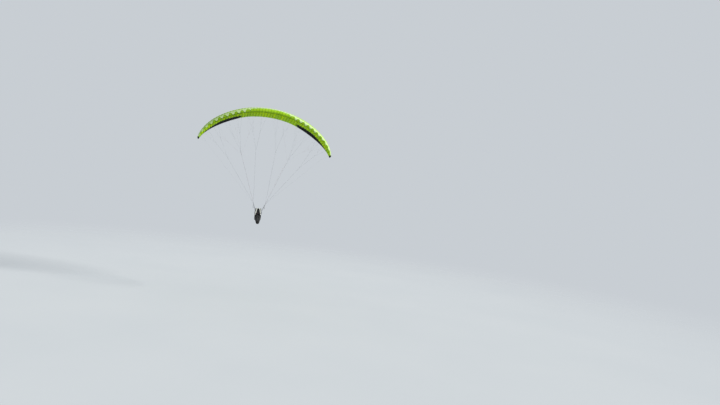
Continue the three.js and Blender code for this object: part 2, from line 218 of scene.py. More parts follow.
def tube(path, radius, sides=6, closed=False):
    """A round rod along a path; radius is one value or one for each point."""
    path = np.asarray(path, float)
    across, up = frames_along(path, closed)
    radii = np.broadcast_to(np.asarray(radius, float), (len(path),))[:, None, None]
    angles = turns(sides)[None, :, None]
    rings = path[:, None] + radii * (np.cos(angles) * across[:, None] + np.sin(angles) * up[:, None])
    return loft(rings, closed)


def ribbon(path, width, thickness, across=(1, 0, 0), count=8, closed=False, power=0.35):
    """A flat strap along a path, round at its edges. Its width, and across, the direction of that width,
    are one for all or one for each point."""
    path = np.asarray(path, float)
    along = tangents(path, closed)
    face = unit(np.cross(along, across))
    widths = np.broadcast_to(np.asarray(width, float), (len(path),))[:, None, None]
    angles = ((np.arange(count) + 0.5) * 2 * math.pi / count)[None, :, None]
    sideways = widths / 2 * signed_power(np.cos(angles), power) * np.cross(face, along)[:, None]
    lifted = thickness / 2 * signed_power(np.sin(angles), power) * face[:, None]
    return loft(path[:, None] + sideways + lifted, closed)


def curve_through(points, steps):
    """A smooth curve through points of any number of columns, with steps points to each span."""
    points = np.asarray(points, float)
    padded = np.concatenate([2 * points[:1] - points[1:2], points, 2 * points[-1:] - points[-2:-1]])
    share = np.linspace(0, 1, steps, endpoint=False)[:, None]
    spans = [
        0.5 * (2 * b + (c - a) * share + (2 * a - 5 * b + 4 * c - d) * share**2
               + (3 * b - a - 3 * c + d) * share**3)
        for a, b, c, d in zip(padded, padded[1:], padded[2:], padded[3:])
    ]
    return np.concatenate([*spans, points[-1:]])


def resampled(path, count):
    """The same path with count points at even steps."""
    path = np.asarray(path, float)
    along = np.concatenate([[0], np.cumsum(np.linalg.norm(np.diff(path, axis=0), axis=1))])
    wanted = np.linspace(0, along[-1], count)
    return np.stack([np.interp(wanted, along, values) for values in path.T], axis=1)


def set_at(shape, place, turn=np.eye(3)):
    """A shape turned by a 3 x 3 matrix and set at a place."""
    points, faces = shape
    return points @ turn.T + place, faces


def block(size, centre, bevel, segments):
    """A box with rounded edges."""
    mesh = bmesh.new()
    bmesh.ops.create_cube(mesh, size=1)
    bmesh.ops.scale(mesh, vec=size, verts=mesh.verts)
    bmesh.ops.bevel(mesh, geom=mesh.edges[:], offset=bevel, segments=segments, affect="EDGES", profile=0.5)
    mesh.verts.index_update()
    points = np.array([v.co for v in mesh.verts]) + centre
    faces = [tuple(v.index for v in face.verts) for face in mesh.faces]
    mesh.free()
    return points, faces


def circle(centre, radius, count, across, up):
    """Points round a centre, from the direction across towards up."""
    angles = turns(count)[:, None]
    return centre + radius * (np.cos(angles) * across + np.sin(angles) * up)


def lathe(profile, centre, axis=(1, 0, 0), sides=20):
    """A closed round body: profile holds (radius, place along the axis) from one end to the other."""
    axis = unit(axis)
    across = unit(np.cross(axis, (0, 0, 1) if abs(axis[2]) < 0.9 else (0, 1, 0)))
    up = np.cross(axis, across)
    return loft([circle(centre + axis * along, radius, sides, across, up) for radius, along in profile])


def spool(half, centre, axis=(1, 0, 0), sides=20):
    """A lathed body that is the same at both ends, from the profile of its first half."""
    other = [(radius, -along) for radius, along in reversed(half) if along]
    return lathe(half + other, centre, axis, sides)


# Materials

class Shade:
    """A material with a Principled shader, and short ways to add nodes to it."""

    def __init__(self, name, **finish):
        self.material = bpy.data.materials.new(name)
        self.material.use_nodes = True
        self.tree = self.material.node_tree
        self.surface = self.tree.nodes["Principled BSDF"]
        for socket, value in finish.items():
            self.surface.inputs[socket.replace("_", " ")].default_value = value

    def node(self, kind, settings=None, **inputs):
        """A new node; each input goes by its name, or by i and its number."""
        made = self.tree.nodes.new("ShaderNode" + kind)
        for name, value in (settings or {}).items():
            setattr(made, name, value)
        for name, value in inputs.items():
            key = int(name[1:]) if name[0] == "i" and name[1:].isdigit() else name.replace("_", " ")
            self.feed(made.inputs[key], value)
        return made

    def feed(self, socket, value):
        if isinstance(value, bpy.types.NodeSocket):
            self.tree.links.new(value, socket)
        else:
            socket.default_value = value

    def attribute(self, name):
        return self.node("Attribute", {"attribute_name": name}).outputs["Fac"]

    def math(self, operation, *values):
        sockets = {f"i{i}": value for i, value in enumerate(values)}
        return self.node("Math", {"operation": operation}, **sockets).outputs[0]

    def times(self, a, b):
        return self.math("MULTIPLY", a, b)

    def minus(self, a, b):
        return self.math("SUBTRACT", a, b)

    def step(self, value, low, high):
        """0 below low, 1 above high."""
        return self.node(
            "MapRange", {"interpolation_type": "SMOOTHSTEP"}, Value=value, From_Min=low, From_Max=high
        ).outputs[0]

    def between(self, share, a, b):
        """A number that goes from a to b."""
        return self.math("MULTIPLY_ADD", share, b - a, a)

    def blend(self, share, a, b):
        mixed = self.node("Mix", {"data_type": "RGBA"}, Factor=share)
        for name, colour in (("A", a), ("B", b)):
            ready = isinstance(colour, bpy.types.NodeSocket)
            self.feed(mixed.inputs[name], colour if ready else rgba(colour))
        return mixed.outputs["Result"]

    def place(self, stretch=(1, 1, 1)):
        mapping = self.node("Mapping", Vector=self.node("TexCoord").outputs["Object"])
        mapping.inputs["Scale"].default_value = stretch
        return mapping.outputs[0]

    def noise(self, scale, detail, stretch=(1, 1, 1)):
        return self.node("TexNoise", Vector=self.place(stretch), Scale=scale, Detail=detail).outputs["Fac"]

    def bump(self, height, strength, distance, below=None):
        made = self.node("Bump", Strength=strength, Distance=distance, Height=height)
        if below is not None:
            self.tree.links.new(below, made.inputs["Normal"])
        return made.outputs[0]

    def finish(self, colour, rough=None, normal=None):
        for name, value in (("Base Color", colour), ("Roughness", rough), ("Normal", normal)):
            if value is not None:
                self.feed(self.surface.inputs[name], value)
        return self.material

    def mix_with(self, second, share):
        """Lets a share of a second shader into what the material shows."""
        mixed = self.node("MixShader", Fac=share, i1=self.surface.outputs[0], i2=second.outputs[0])
        self.tree.links.new(mixed.outputs[0], self.tree.nodes["Material Output"].inputs["Surface"])


def rgba(colour):
    """A colour given as a hex number in sRGB, as linear red, green, blue and alpha."""
    if not isinstance(colour, int):
        return (*colour, 1.0)
    parts = [((colour >> shift) & 255) / 255 for shift in (16, 8, 0)]
    linear = [c / 12.92 if c <= 0.04045 else ((c + 0.055) / 1.055) ** 2.4 for c in parts]
    return (*linear, 1.0)


LIME = 0xA4CE2C
LIME_SECOND = 0x96C224
# painted light: the lower skin's lime is brighter than the upper's, standing in for light glowing through the
# cloth
LIME_BELOW_PAINTED_GLOW = 0xBADE00
LIME_DARK = 0x5C8800
# painted shade: darker lime beside the ribs of the lower skin, for the seam allowance and the shade of the
# billowed cells
LIME_SEAM_SHADE = 0x86B200
LIME_PALE = 0xC6E09C
SEAM_THREAD = 0x3C5A08
BLACK_CLOTH = 0x020303
TIP_DARK = 0x263418
# for each skin: specular level, lime, tone beside the ribs (seam allowance and painted shade), how far that
# reaches in cells, and its share
SKIN_LOOKS = {"upper": (0.08, LIME, LIME_DARK, 0.3, 0.35), "lower": (0.02, LIME_BELOW_PAINTED_GLOW, LIME_SEAM_SHADE, 0.4, 0.8)}
PANEL = {"inner": 0.35, "front_turn": 0.035, "rear_turn": 0.07, "taper": 0.6, "outer": 1.0,
         "point": 0.66, "front": 0.38, "rear": 1.01, "edge": 0.003}
NOSE_PANEL = {"front": 0.058, "front_outside": 0.016, "tooth": 0.012, "tooth_outside": 0.058,
              "behind": 0.16, "behind_outside": 0.06, "line": 0.009, "edge": 0.002,
              "centre": 0.1, "outside": 0.38}
RIPSTOP = 0.006
PUCKER = 0.055
RIB_SHIFT = 64.0
LIGHT_THROUGH = 0.22


def with_black_panel(shade, cloth, chord, u):
    """Black along the rear of each outer half: a point at its inner end, then a long taper outwards."""
    inner, point, edge = PANEL["inner"], PANEL["point"], PANEL["edge"]
    turned = shade.step(u, inner, inner + PANEL["front_turn"])
    full = shade.between(shade.step(u, PANEL["taper"], PANEL["outer"]), PANEL["front"], PANEL["rear"])
    front = shade.math("MULTIPLY_ADD", turned, shade.minus(full, point), point)
    rear = shade.between(shade.step(u, inner, inner + PANEL["rear_turn"]), point, PANEL["rear"])
    behind_front = shade.step(shade.minus(chord, front), -edge, edge)
    before_rear = shade.step(shade.minus(rear, chord), -edge, edge)
    black = shade.times(shade.step(u, inner, inner + 0.001), shade.times(behind_front, before_rear))
    return shade.blend(black, cloth, BLACK_CLOTH)


def with_nose_panel(shade, cloth, shifted, chord, u):
    """A paler nose with a dark line before it; its front border has a tooth at every second rib."""
    edge, line = NOSE_PANEL["edge"], NOSE_PANEL["line"]
    tooth = shade.math("PINGPONG", shifted, 1.0)
    outside = shade.step(u, NOSE_PANEL["centre"], NOSE_PANEL["outside"])
    depth, start, rear = (
        shade.between(outside, NOSE_PANEL[name], NOSE_PANEL[f"{name}_outside"])
        for name in ("tooth", "front", "behind")
    )
    front = shade.minus(start, shade.times(shade.times(tooth, tooth), depth))
    past = shade.minus(chord, front)
    cloth = shade.blend(shade.times(shade.step(past, -line - edge, -line), 0.8), cloth, LIME_DARK)
    cloth = shade.blend(shade.step(past, 2 * edge, 3 * edge), cloth, LIME)
    pale = shade.times(shade.step(past, -edge, edge), shade.step(shade.minus(rear, chord), -edge, edge))
    return shade.blend(pale, cloth, LIME_PALE)


def canopy_material(name, skin):
    """Coated ripstop in lime: seams at the ribs with painted shade beside them, paler nose, black panels near
    the trailing edge.
    """
    specular, lime, seam_shade_tone, seam_shade_reach, seam_shade_share = SKIN_LOOKS[skin]
    shade = Shade(name, Roughness=0.6, Specular_IOR_Level=specular)
    rib = shade.attribute("rib")
    chord = shade.attribute("chord")
    span = shade.math("ABSOLUTE", rib)
    u = shade.math("DIVIDE", span, float(HALF_CELLS))
    shifted = shade.math("ADD", rib, RIB_SHIFT)
    seam_distance = shade.math("PINGPONG", shade.math("FRACT", shifted), 0.5)
    cell = shade.math("FLOOR", rib)
    cell_tone = shade.node("TexWhiteNoise", {"noise_dimensions": "1D"}, W=cell).outputs["Value"]
    cloth = shade.blend(cell_tone, lime, LIME_SECOND)
    # the cloth is darker beside each rib: partly where two layers and the seam allowance lie, partly painted
    # shade of the cell's billow
    beside = shade.minus(1.0, shade.step(seam_distance, 0.0, seam_shade_reach))
    cloth = shade.blend(shade.times(beside, seam_shade_share), cloth, seam_shade_tone)
    cloth = shade.blend(shade.times(shade.noise(1.7, 3), 0.15), cloth, LIME_DARK)
    if skin == "lower":
        cloth = with_black_panel(shade, cloth, chord, u)
    else:
        cloth = with_nose_panel(shade, cloth, shifted, chord, u)
    cloth = shade.blend(shade.step(span, HALF_CELLS - 0.62, HALF_CELLS - 0.58), cloth, TIP_DARK)
    seam = shade.minus(1.0, shade.step(seam_distance, 0.006, 0.016))
    cloth = shade.blend(shade.times(seam, 0.5), cloth, SEAM_THREAD)
    # ripstop squares, puckers that fade away from each rib, and soft creases
    threads = [
        shade.math("PINGPONG", shade.times(value, length / RIPSTOP), 0.5)
        for value, length in ((rib, CELL), (chord, CHORD))
    ]
    squares = shade.step(shade.math("MINIMUM", *threads), 0.05, 0.14)
    ripple = shade.math("SINE", shade.times(chord, CHORD * 2 * math.pi / PUCKER))
    fade = shade.minus(1.0, shade.step(seam_distance, 0.0, 0.16))
    normal = shade.bump(squares, 0.1, 0.0001)
    normal = shade.bump(shade.times(ripple, fade), 0.4, 0.001, normal)
    normal = shade.bump(shade.noise(5.0, 4), 0.3, 0.012, normal)
    shade.finish(cloth, shade.math("MULTIPLY_ADD", shade.noise(9, 2), 0.16, 0.52), normal)
    # thin cloth lets some of the light behind it through
    shade.mix_with(shade.node("BsdfTranslucent", Color=cloth, Normal=normal), LIGHT_THROUGH)
    return shade.material


def cloth_material(name, colour, second, weave, rough, sheen, wrinkle):
    """A woven fabric: threads, uneven tone and soft creases."""
    shade = Shade(name, Sheen_Weight=sheen, Specular_IOR_Level=0.3)
    base = shade.blend(shade.noise(14, 4), colour, second)
    x, y, z = (
        shade.node("TexWave", {"bands_direction": axis}, Vector=shade.place(), Scale=weave, Distortion=0.4)
        .outputs["Fac"]
        for axis in "XYZ"
    )
    threads = shade.math("ADD", shade.math("ADD", x, y), z)
    base = shade.blend(shade.times(threads, 0.12), base, second)
    normal = shade.bump(shade.noise(22, 5), wrinkle, 0.006, shade.bump(threads, 0.25, 0.0004))
    return shade.finish(base, shade.math("MULTIPLY_ADD", shade.noise(30, 2), 0.16, rough - 0.08), normal)


def metal_material(name, colour, rough):
    """Brushed metal with fine scratches along one axis."""
    shade = Shade(name, Metallic=1.0)
    scratches = shade.noise(60, 6, stretch=(1, 1, 9))
    base = shade.blend(shade.noise(25, 3), colour, tuple(c * 0.72 for c in rgba(colour)[:3]))
    roughness = shade.math("MULTIPLY_ADD", scratches, 0.25, rough - 0.1)
    return shade.finish(base, roughness, shade.bump(scratches, 0.12, 0.0003))


# columns: key, name, colour, second colour, scale of the threads, roughness, sheen, creases
CLOTHS = (
    ("rib", "rib_cloth", 0x8E9684, 0x7C8472, 900, 0.6, 0.1, 0.2),
    ("hem", "hem_tape", 0x16180F, 0x24281A, 1400, 0.7, 0.3, 0.4),
    # painted shade: the lip tape's dark green stands for the shade inside the intakes
    ("lip", "lip_tape_painted_shade", 0x48700A, 0x3A5C08, 1400, 0.7, 0.3, 0.4),
    ("tip", "tip_cloth", TIP_DARK, 0x1E2A14, 1400, 0.7, 0.05, 0.4),
    ("brake_line", "brake_line_sheath", 0x8A1E14, 0x6E150E, 2600, 0.6, 0.3, 0.1),
    ("line", "line_sheath", 0x70767D, 0x575C63, 2600, 0.6, 0.3, 0.1),
    ("web", "webbing", 0x0C0D10, 0x15171B, 1100, 0.72, 0.3, 0.15),
    ("stripe", "light_strap", 0xD8DAD6, 0xC0C4BE, 1100, 0.7, 0.3, 0.2),
    ("stitch", "stitch_thread", 0x8B9096, 0x6B7076, 3000, 0.6, 0.3, 0.1),
    ("pod", "pod_cloth", 0x060708, 0x0D0E11, 1400, 0.6, 0.04, 0.5),
    ("pad", "pad_mesh", 0x121418, 0x1E2126, 520, 0.85, 0.1, 0.3),
    ("plate", "carbon_plate", 0x1C1E21, 0x2D3035, 420, 0.4, 0.0, 0.02),
    ("handle", "handle_cloth", 0xC2301A, 0xA32514, 1100, 0.7, 0.3, 0.2),
    ("rubber", "rubber", 0x121212, 0x1A1A1B, 1400, 0.6, 0.0, 0.05),
    ("buckle", "buckle_plastic", 0x0C0D0E, 0x141517, 300, 0.45, 0.0, 0.04),
    ("piping", "piping", 0x7A7F83, 0x64696D, 1400, 0.7, 0.3, 0.1),
)
MATERIALS = {
    "top": canopy_material("canopy_upper_cloth", "upper"),
    "bottom": canopy_material("canopy_lower_cloth", "lower"),
    **{key: cloth_material(*look) for key, *look in CLOTHS},
    "steel": metal_material("steel", 0xB9BCC0, 0.25),
    "alloy": metal_material("alloy", 0x8E949C, 0.34),
}


# Canopy

ARC_STEPS = 4000
arc_u = np.linspace(0, 1, ARC_STEPS + 1)
arc_middle = (arc_u[:-1] + arc_u[1:]) / 2
arc_roll = ARC_ROLL * arc_middle + TIP_CURL * arc_middle**CURL_POWER
arc_x, arc_z = (
    np.concatenate([[0], np.cumsum(steps)]) * HALF_ARC / ARC_STEPS
    for steps in (np.cos(arc_roll), -np.sin(arc_roll))
)


def chord_at(u):
    return CHORD * np.sqrt(1 - (1 - (TIP_CHORD / CHORD) ** 2) * u * u)


def nose_at(u):
    return -CARRY * CHORD + NOSE_SWEEP * (CHORD - chord_at(u))


def half_thickness(s, u):
    form = 0.2969 * np.sqrt(s) - 0.126 * s - 0.3516 * s**2 + 0.2843 * s**3 - 0.1015 * s**4
    return 5 * THICKNESS * (1 - TIP_THINNING * u**10) * form


def camber_at(s):
    ahead = (CAMBER / CREST**2) * (2 * CREST * s - s * s)
    aft = (CAMBER / (1 - CREST) ** 2) * (1 - 2 * CREST + 2 * CREST * s - s * s)
    return np.where(s < CREST, ahead, aft)


def bulge_at(rib):
    """1 at mid cell and 0 at each rib."""
    t = np.abs(rib) % 1
    return 4 * t * (1 - t)


def droop_at(s, u):
    """How far the lightly pulled brakes draw the rear of the profile down."""
    along = np.maximum(0, 1 - ((u - DROOP["middle"]) / DROOP["spread"]) ** 2) ** 2
    return DROOP["depth"] * along * (np.maximum(0, s - DROOP["from"]) / (1 - DROOP["from"])) ** 2


def skin_height(s, side, rib):
    """Height of the upper (side 1) or lower (side -1) skin over the chord line."""
    u = np.abs(rib) / HALF_CELLS
    swell = np.minimum(1, 2 * np.sqrt(np.maximum(s * (1 - s), 0))) * BILLOW * bulge_at(rib)
    edge = EDGE_HALF * np.minimum(1, s * 60)
    line = chord_at(u) * camber_at(s) - droop_at(s, u)
    return line + side * (chord_at(u) * half_thickness(s, u) + swell + edge)


def canopy_points(rib, s, height):
    """Points of the canopy: rib is counted from the centre, negative on the pilot's right."""
    rib, s, height = np.broadcast_arrays(rib, s, height)
    u = np.abs(rib) / HALF_CELLS
    side = np.where(rib < 0, -1.0, 1.0)
    roll = side * (ARC_ROLL * u + TIP_CURL * u**CURL_POWER)
    y = nose_at(u) + s * chord_at(u)
    x = side * np.interp(u, arc_u, arc_x) + height * np.sin(roll)
    z = np.interp(u, arc_u, arc_z) + height * np.cos(roll) - y * TRIM
    return np.stack([x, y, z], axis=-1)


def skin_points(rib, s, side):
    return canopy_points(rib, s, skin_height(s, side, rib))


def inside_points(rib, s, share, place=None):
    """Points of a rib, at a share from -1 on the lower skin to 1 on the upper one.

    They lie at the rib, or at a place beside it, which is given in cells too.
    """
    low, high = (skin_height(s, side, rib) for side in (-1, 1))
    return canopy_points(rib if place is None else place, s, low + (high - low) * (share + 1) / 2)


CELL_STEPS = np.array([0, 0.04, 0.13, 0.18, 0.26, 0.38, 0.5, 0.62, 0.74, 0.82, 0.87, 0.96])
UPPER_ROWS = np.array([0.0, 0.0012, 0.004, 0.009, 0.016, 0.026, 0.04, 0.058, 0.08, 0.106, 0.136, 0.17, 0.21,
                       0.255, 0.3, 0.35, 0.4, 0.46, 0.52, 0.58, 0.64, 0.7, 0.76, 0.82, 0.87, 0.91, 0.945,
                       0.975, 1.0])
LIP_ROWS = np.array([1.0, 0.8, 0.6, 0.42, 0.26, 0.13, 0.045])
LOWER_ROWS = np.array([0, 0.02, 0.05, 0.09, 0.14, 0.19, 0.25, 0.31, 0.37, 0.43, 0.49, 0.55, 0.61, 0.67, 0.73,
                       0.79, 0.84, 0.89, 0.93, 0.965, 1.0])
PORTS = np.array([0.09, 0.19, 0.29, 0.39, 0.49, 0.59, 0.69, 0.79, 0.88])
PORT = {"sides": 16, "reach": 0.3, "height": 0.55, "front": 0.014, "rear": 0.93}
RIB_GAP = 0.995
TIP_BOW = 0.012
LIP_ROD = 0.0024
HEM = {"width": 0.013, "thickness": 0.0028}


def cell_columns():
    """Rib numbers of the columns of points, close together beside each rib."""
    cells = np.arange(-HALF_CELLS, HALF_CELLS)
    return np.concatenate([(cells[:, None] + CELL_STEPS).ravel(), [HALF_CELLS]])


def intake_half(rib):
    """Half the height of the intake, as a share of the chord: round at its corners, none in the tip cells."""
    t = np.abs(rib) % 1
    form = np.maximum(1 - np.abs((2 * t - 1) / INTAKE_SHARE) ** 2.6, 0) ** 0.6
    opened = LIP_GAP_AT_RIB + (1 - LIP_GAP_AT_RIB) * form
    return np.where(np.abs(rib) <= OPEN_CELLS, INTAKE_HALF * opened, 0.0)


def cloth_skin(name, rows, sides, marks, material):
    """One skin of the canopy, with the attributes that its material reads."""
    rib = np.broadcast_to(cell_columns(), rows.shape)
    skin = single(name, grid(skin_points(rib, rows, sides)), MATERIALS[material])
    for attribute, values in (("rib", rib), ("chord", marks)):
        layer = skin.data.attributes.new(attribute, "FLOAT", "POINT")
        layer.data.foreach_set("value", np.ascontiguousarray(values, np.float32).ravel())
    return skin


def make_canopy():
    """The upper skin with the front lip of the intakes, and the lower skin from their rear lip."""
    half = intake_half(cell_columns())
    lip = LIP_ROWS[:, None] * (INTAKE_MIDDLE - half)
    upper = np.broadcast_to(UPPER_ROWS[:, None], (len(UPPER_ROWS), len(half)))
    rows = np.concatenate([lip, upper])
    sides = np.concatenate([-np.ones_like(lip), np.ones_like(upper)])
    rear_lip = INTAKE_MIDDLE + half
    lower = rear_lip + LOWER_ROWS[:, None] * (1 - rear_lip)
    top = cloth_skin("canopy_top", rows, sides, rows * sides, "top")
    bottom = cloth_skin("canopy_bottom", lower, -1, lower, "bottom")
    nodes = [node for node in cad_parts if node.startswith("canopy_")]
    return told(top, "wing", "canopy_cloth", *nodes), told(bottom, "wing", "canopy_cloth")


def add_rib_sheet(build, rib):
    """One rib between the skins, with round ports that let the air pass."""
    edges = np.concatenate([[PORT["front"]], (PORTS[1:] + PORTS[:-1]) / 2, [PORT["rear"]]])
    angles = turns(PORT["sides"])
    square = np.stack([np.cos(angles), np.sin(angles)], axis=1)
    square = square / np.abs(square).max(axis=1, keepdims=True)
    for start, middle, end in zip(edges, PORTS, edges[1:]):
        outside = middle + square[:, 0] * np.where(square[:, 0] < 0, middle - start, end - middle)
        port = middle + PORT["reach"] * (end - start) * np.cos(angles)
        rings = [
            inside_points(float(rib), np.clip(s, 0.002, 0.999), share * RIB_GAP)
            for s, share in ((outside, square[:, 1]), (port, PORT["height"] * np.sin(angles)))
        ]
        build.add(grid(rings, round_columns=True))


def plain_rib(rib, bow=0.0):
    """One rib without ports; bow is how far it stands out from the tip."""
    s = UPPER_ROWS[1:, None]
    share = np.linspace(-1, 1, 9)[None, :]
    stand = np.sign(rib) * bow * np.sqrt(np.maximum((1 - share * share) * np.sin(math.pi * s), 0)) / CELL
    return grid(inside_points(rib, s, share, rib + stand))


def make_ribs():
    """The ribs between the cells, with ports where the cells are open."""
    build = Build("canopy_ribs")
    for rib in range(1 - HALF_CELLS, HALF_CELLS):
        if abs(rib) <= OPEN_CELLS:
            add_rib_sheet(build, rib)
        else:
            build.add(plain_rib(rib))
    build.piece("rib", "wing", "canopy_cloth")


def make_canopy_trim():
    """The closed tips, the rods in the intake lips and the hem of the trailing edge."""
    tips, lips, hem = Build("canopy_tips"), Build("intake_lips"), Build("trailing_hem")
    columns = cell_columns()
    columns = columns[np.abs(columns) <= OPEN_CELLS]
    for sign in (-1, 1):
        tips.add(plain_rib(sign * HALF_CELLS, TIP_BOW))
        # the lip rods are real, and their dark tape is painted shade of the open intakes
        lips.add(tube(skin_points(columns, INTAKE_MIDDLE + sign * intake_half(columns), -1), LIP_ROD))
    ribs = np.linspace(-HALF_CELLS, HALF_CELLS, 8 * HALF_CELLS + 1)
    edge = (skin_points(ribs, 1.0, 1) + skin_points(ribs, 1.0, -1)) / 2
    hem.add(ribbon(edge, HEM["width"], HEM["thickness"], across=(0, 1, 0), count=6))
    return [
        build.piece(material, "wing", "canopy_cloth")
        for build, material in ((tips, "tip"), (lips, "lip"), (hem, "hem"))
    ]


# Lines, as in the CAD source, each on its own branch

HANG_X = 0.225
HANG_Z = -6.85
RISER_BASE = np.array([HANG_X, 0, HANG_Z + 0.095])
RISER_LEAN = 0.17
RISER_RISE = 0.44
MAILLON = {"width": 0.022, "height": 0.034, "rod": 0.004, "corner": 0.006}
FOOT_KNOT = 0.006
SEAT_GAP = 0.00035
MAIN_SHARE = 0.6
MIDDLE_SHARE = 0.52
ROWS = {"a": (0.1, -0.031), "b": (0.33, 0.005), "c": (0.62, 0.05)}
MAIN_RIBS = [[[1, 3], [6, 8]], [[10, 12], [15, 17]], [[19, 21], [23, 25]]]
TIP_RIBS = [[26, 27]]
BRAKE_RIBS = [[2, 5, 8], [11, 13, 16], [19, 21, 24]]
BRAKE_CHORD = 0.985
LINE_RADIUS = {"main": 0.0011, "middle": 0.0008, "upper": 0.0006}
SPLICE = 0.07
KNOT = {"main": 0.0032, "middle": 0.0026, "brake": 0.003}
TAB = {"length": 0.021, "width": 0.009, "thickness": 0.0012, "spread": 0.004, "root": -0.003}
PULLEY = {"along": 0.76, "aft": 0.017, "radius": 0.011, "rim": 0.001}
FOOT_SLEEVE = [(0.0012, -0.013), (0.0036, -0.0115), (0.0044, -0.002), (0.0042, 0.006), (0.0032, 0.011),
               (0.001, 0.0125)]


def riser_top(row):
    return RISER_BASE + (RISER_LEAN, ROWS[row][1], RISER_RISE)


def riser_along(row):
    return unit(riser_top(row) - RISER_BASE)


pulley_seat = RISER_BASE + (riser_top("c") - RISER_BASE) * PULLEY["along"]
pulley_centre = pulley_seat + (0, PULLEY["aft"], 0)


def line(start, end, radius):
    """A taut line with a thicker spliced stretch at each end."""
    length = np.linalg.norm(end - start)
    splice = min(SPLICE, length / 4) / length
    inner, outer = splice * 0.95, splice * 1.15
    shares = np.array([0, inner, outer, 1 - outer, 1 - inner, 1])
    radii = radius * np.array([1.45, 1.4, 1, 1, 1.4, 1.45])
    return tube(start + (end - start) * shares[:, None], radii)


def bead(centre, radius, along):
    """A small knot, longer in the line's direction."""
    angles = np.linspace(0, math.pi, 7)
    profile = [(max(radius * math.sin(a), 1e-5), -1.5 * radius * math.cos(a)) for a in angles]
    return lathe(profile, centre, along, 8)


def tab_loop(place, towards):
    """A sewn loop on the lower skin, from a rib seam towards its line."""
    along = unit(towards - place)
    chordwise = unit(np.cross(along, (1, 0, 0)))
    root, tip = TAB["root"], TAB["length"]
    path = [
        place + along * reach + chordwise * side * TAB["spread"] / 2
        for reach, side in ((root, 1), (tip * 0.7, 1), (tip, 0), (tip * 0.7, -1), (root, -1))
    ]
    return ribbon(curve_through(path, 3), TAB["width"], TAB["thickness"], np.cross(along, chordwise), 6)


def add_branch(lines, tabs, foot, groups, chord):
    """One main line and the middle and upper lines that branch from it."""
    skin = {rib: skin_points(float(rib), chord, -1) for group in groups for rib in group}
    fork = foot + (np.mean(list(skin.values()), axis=0) - foot) * MAIN_SHARE
    lines.add(line(foot, fork, LINE_RADIUS["main"]))
    lines.add(bead(fork, KNOT["main"], fork - foot))
    for group in groups:
        split = fork + (np.mean([skin[rib] for rib in group], axis=0) - fork) * MIDDLE_SHARE
        lines.add(line(fork, split, LINE_RADIUS["middle"]))
        lines.add(bead(split, KNOT["middle"], split - fork))
        for rib in group:
            end = skin[rib] + unit(split - skin[rib]) * (TAB["length"] - 0.002)
            lines.add(line(split, end, LINE_RADIUS["upper"]))
            tabs.add(tab_loop(skin[rib], split))


def make_lines():
    """The line rows and the brake fan of each side, with their tabs on the lower skin."""
    for name, side in SIDES:
        tabs = Build(f"line_tabs_{name}", side)
        for row in ROWS:
            lines = Build(f"row_{row}_lines_{name}", side)
            foot = riser_top(row) + riser_along(row) * (MAILLON["height"] + FOOT_KNOT + 2 * SEAT_GAP)
            for groups in MAIN_RIBS + ([TIP_RIBS] if row == "b" else []):
                add_branch(lines, tabs, foot, groups, ROWS[row][0])
            lines.add(lathe(FOOT_SLEEVE, foot, riser_along(row), 12))
            lines.piece("line", "wing", "line_cord", f"lines_{row}_{name}")
        brake = Build(f"brake_lines_{name}", side)
        foot = pulley_centre + (0, 0, PULLEY["radius"] + 0.005 + SEAT_GAP)
        add_branch(brake, tabs, foot, BRAKE_RIBS, BRAKE_CHORD)
        brake.add(bead(foot, KNOT["brake"], (0, 0, 1)))
        angles = np.linspace(0.5 * math.pi, -0.5 * math.pi, 9)[1:-1, None]
        groove = PULLEY["radius"] - PULLEY["rim"]
        around = pulley_centre + groove * (np.cos(angles) * (0, 1, 0) + np.sin(angles) * (0, 0, 1))
        brake.add(tube(np.concatenate([[foot], around]), LINE_RADIUS["main"]))
        brake.piece("brake_line", "wing", "line_cord", f"lines_brake_{name}")
        tabs.piece("hem", "wing", "webbing")


# Risers and their hardware

CARABINER = {"width": 0.062, "height": 0.105, "corner": 0.018, "bar": 0.01}
GATE_SLEEVE = [(0.004, -0.03), (0.0062, -0.0295), (0.0066, -0.026), (0.0066, 0.014), (0.0072, 0.016),
               (0.0072, 0.026), (0.0062, 0.0285), (0.004, 0.029)]
STRAP = {"width": 0.022, "thickness": 0.003, "fold_width": 0.0185, "fold": 0.0034}
STRAP_ENDS = ((0.045, 0.0022), (0.02, 0.0023), (0.009, 0.0029))
BINDING = {"from": 0.012, "to": 0.052, "thickness": 0.0105}
BINDING_WIDTHS = [0.021, 0.0235, 0.0245, 0.0248, 0.0245, 0.024, 0.0232]
SPEED_LINE = 0.0013
EYE = {"radius": 0.0075, "thickness": 0.0036, "width": 0.024}
TOGGLE = {"width": 0.104, "height": 0.12, "bar": 0.014, "drop": 0.046, "corner": 0.03, "overlap": 0.002,
          "loop": 0.0046, "grip": 0.0024, "piping": 0.0008, "knot": 0.004}
SWIVEL = [(0.001, -0.006), (0.004, -0.005), (0.0046, 0), (0.004, 0.006), (0.0022, 0.008), (0.001, 0.0085)]
SEWING_THREAD = 0.00045
# columns: length, width, and half the thickness of what is sewn
SEWN = {"riser": (0.028, 0.013, 0.0031), "binding": (0.026, 0.014, 0.0053), "web": (0.034, 0.016, 0.002),
        "leg": (0.062, 0.018, 0.0019), "chest": (0.02, 0.016, 0.0014)}
ZIGZAG_ROWS = 6


def round_rectangle(width, height, corner, steps=6):
    """A closed path in X and Z with round corners, counter-clockwise from the lower right."""
    path = []
    for across, up, start in ((1, -1, -0.5), (1, 1, 0.0), (-1, 1, 0.5), (-1, -1, 1.0)):
        for angle in np.linspace(start, start + 0.5, steps + 1) * math.pi:
            path.append((across * (width / 2 - corner) + corner * math.cos(angle), 0,
                         up * (height / 2 - corner) + corner * math.sin(angle)))
    return np.array(path)


def eye_loop(centre):
    """The end of a strap, looped round the bar that runs through its centre."""
    ring = circle(centre, EYE["radius"], 20, (0, 1, 0), (0, 0, 1))
    return ribbon(ring, EYE["width"], EYE["thickness"], closed=True)


def level_across(along):
    """The direction square to a strap and closest to X."""
    return unit(np.cross(np.cross(along, (1, 0, 0)), along))


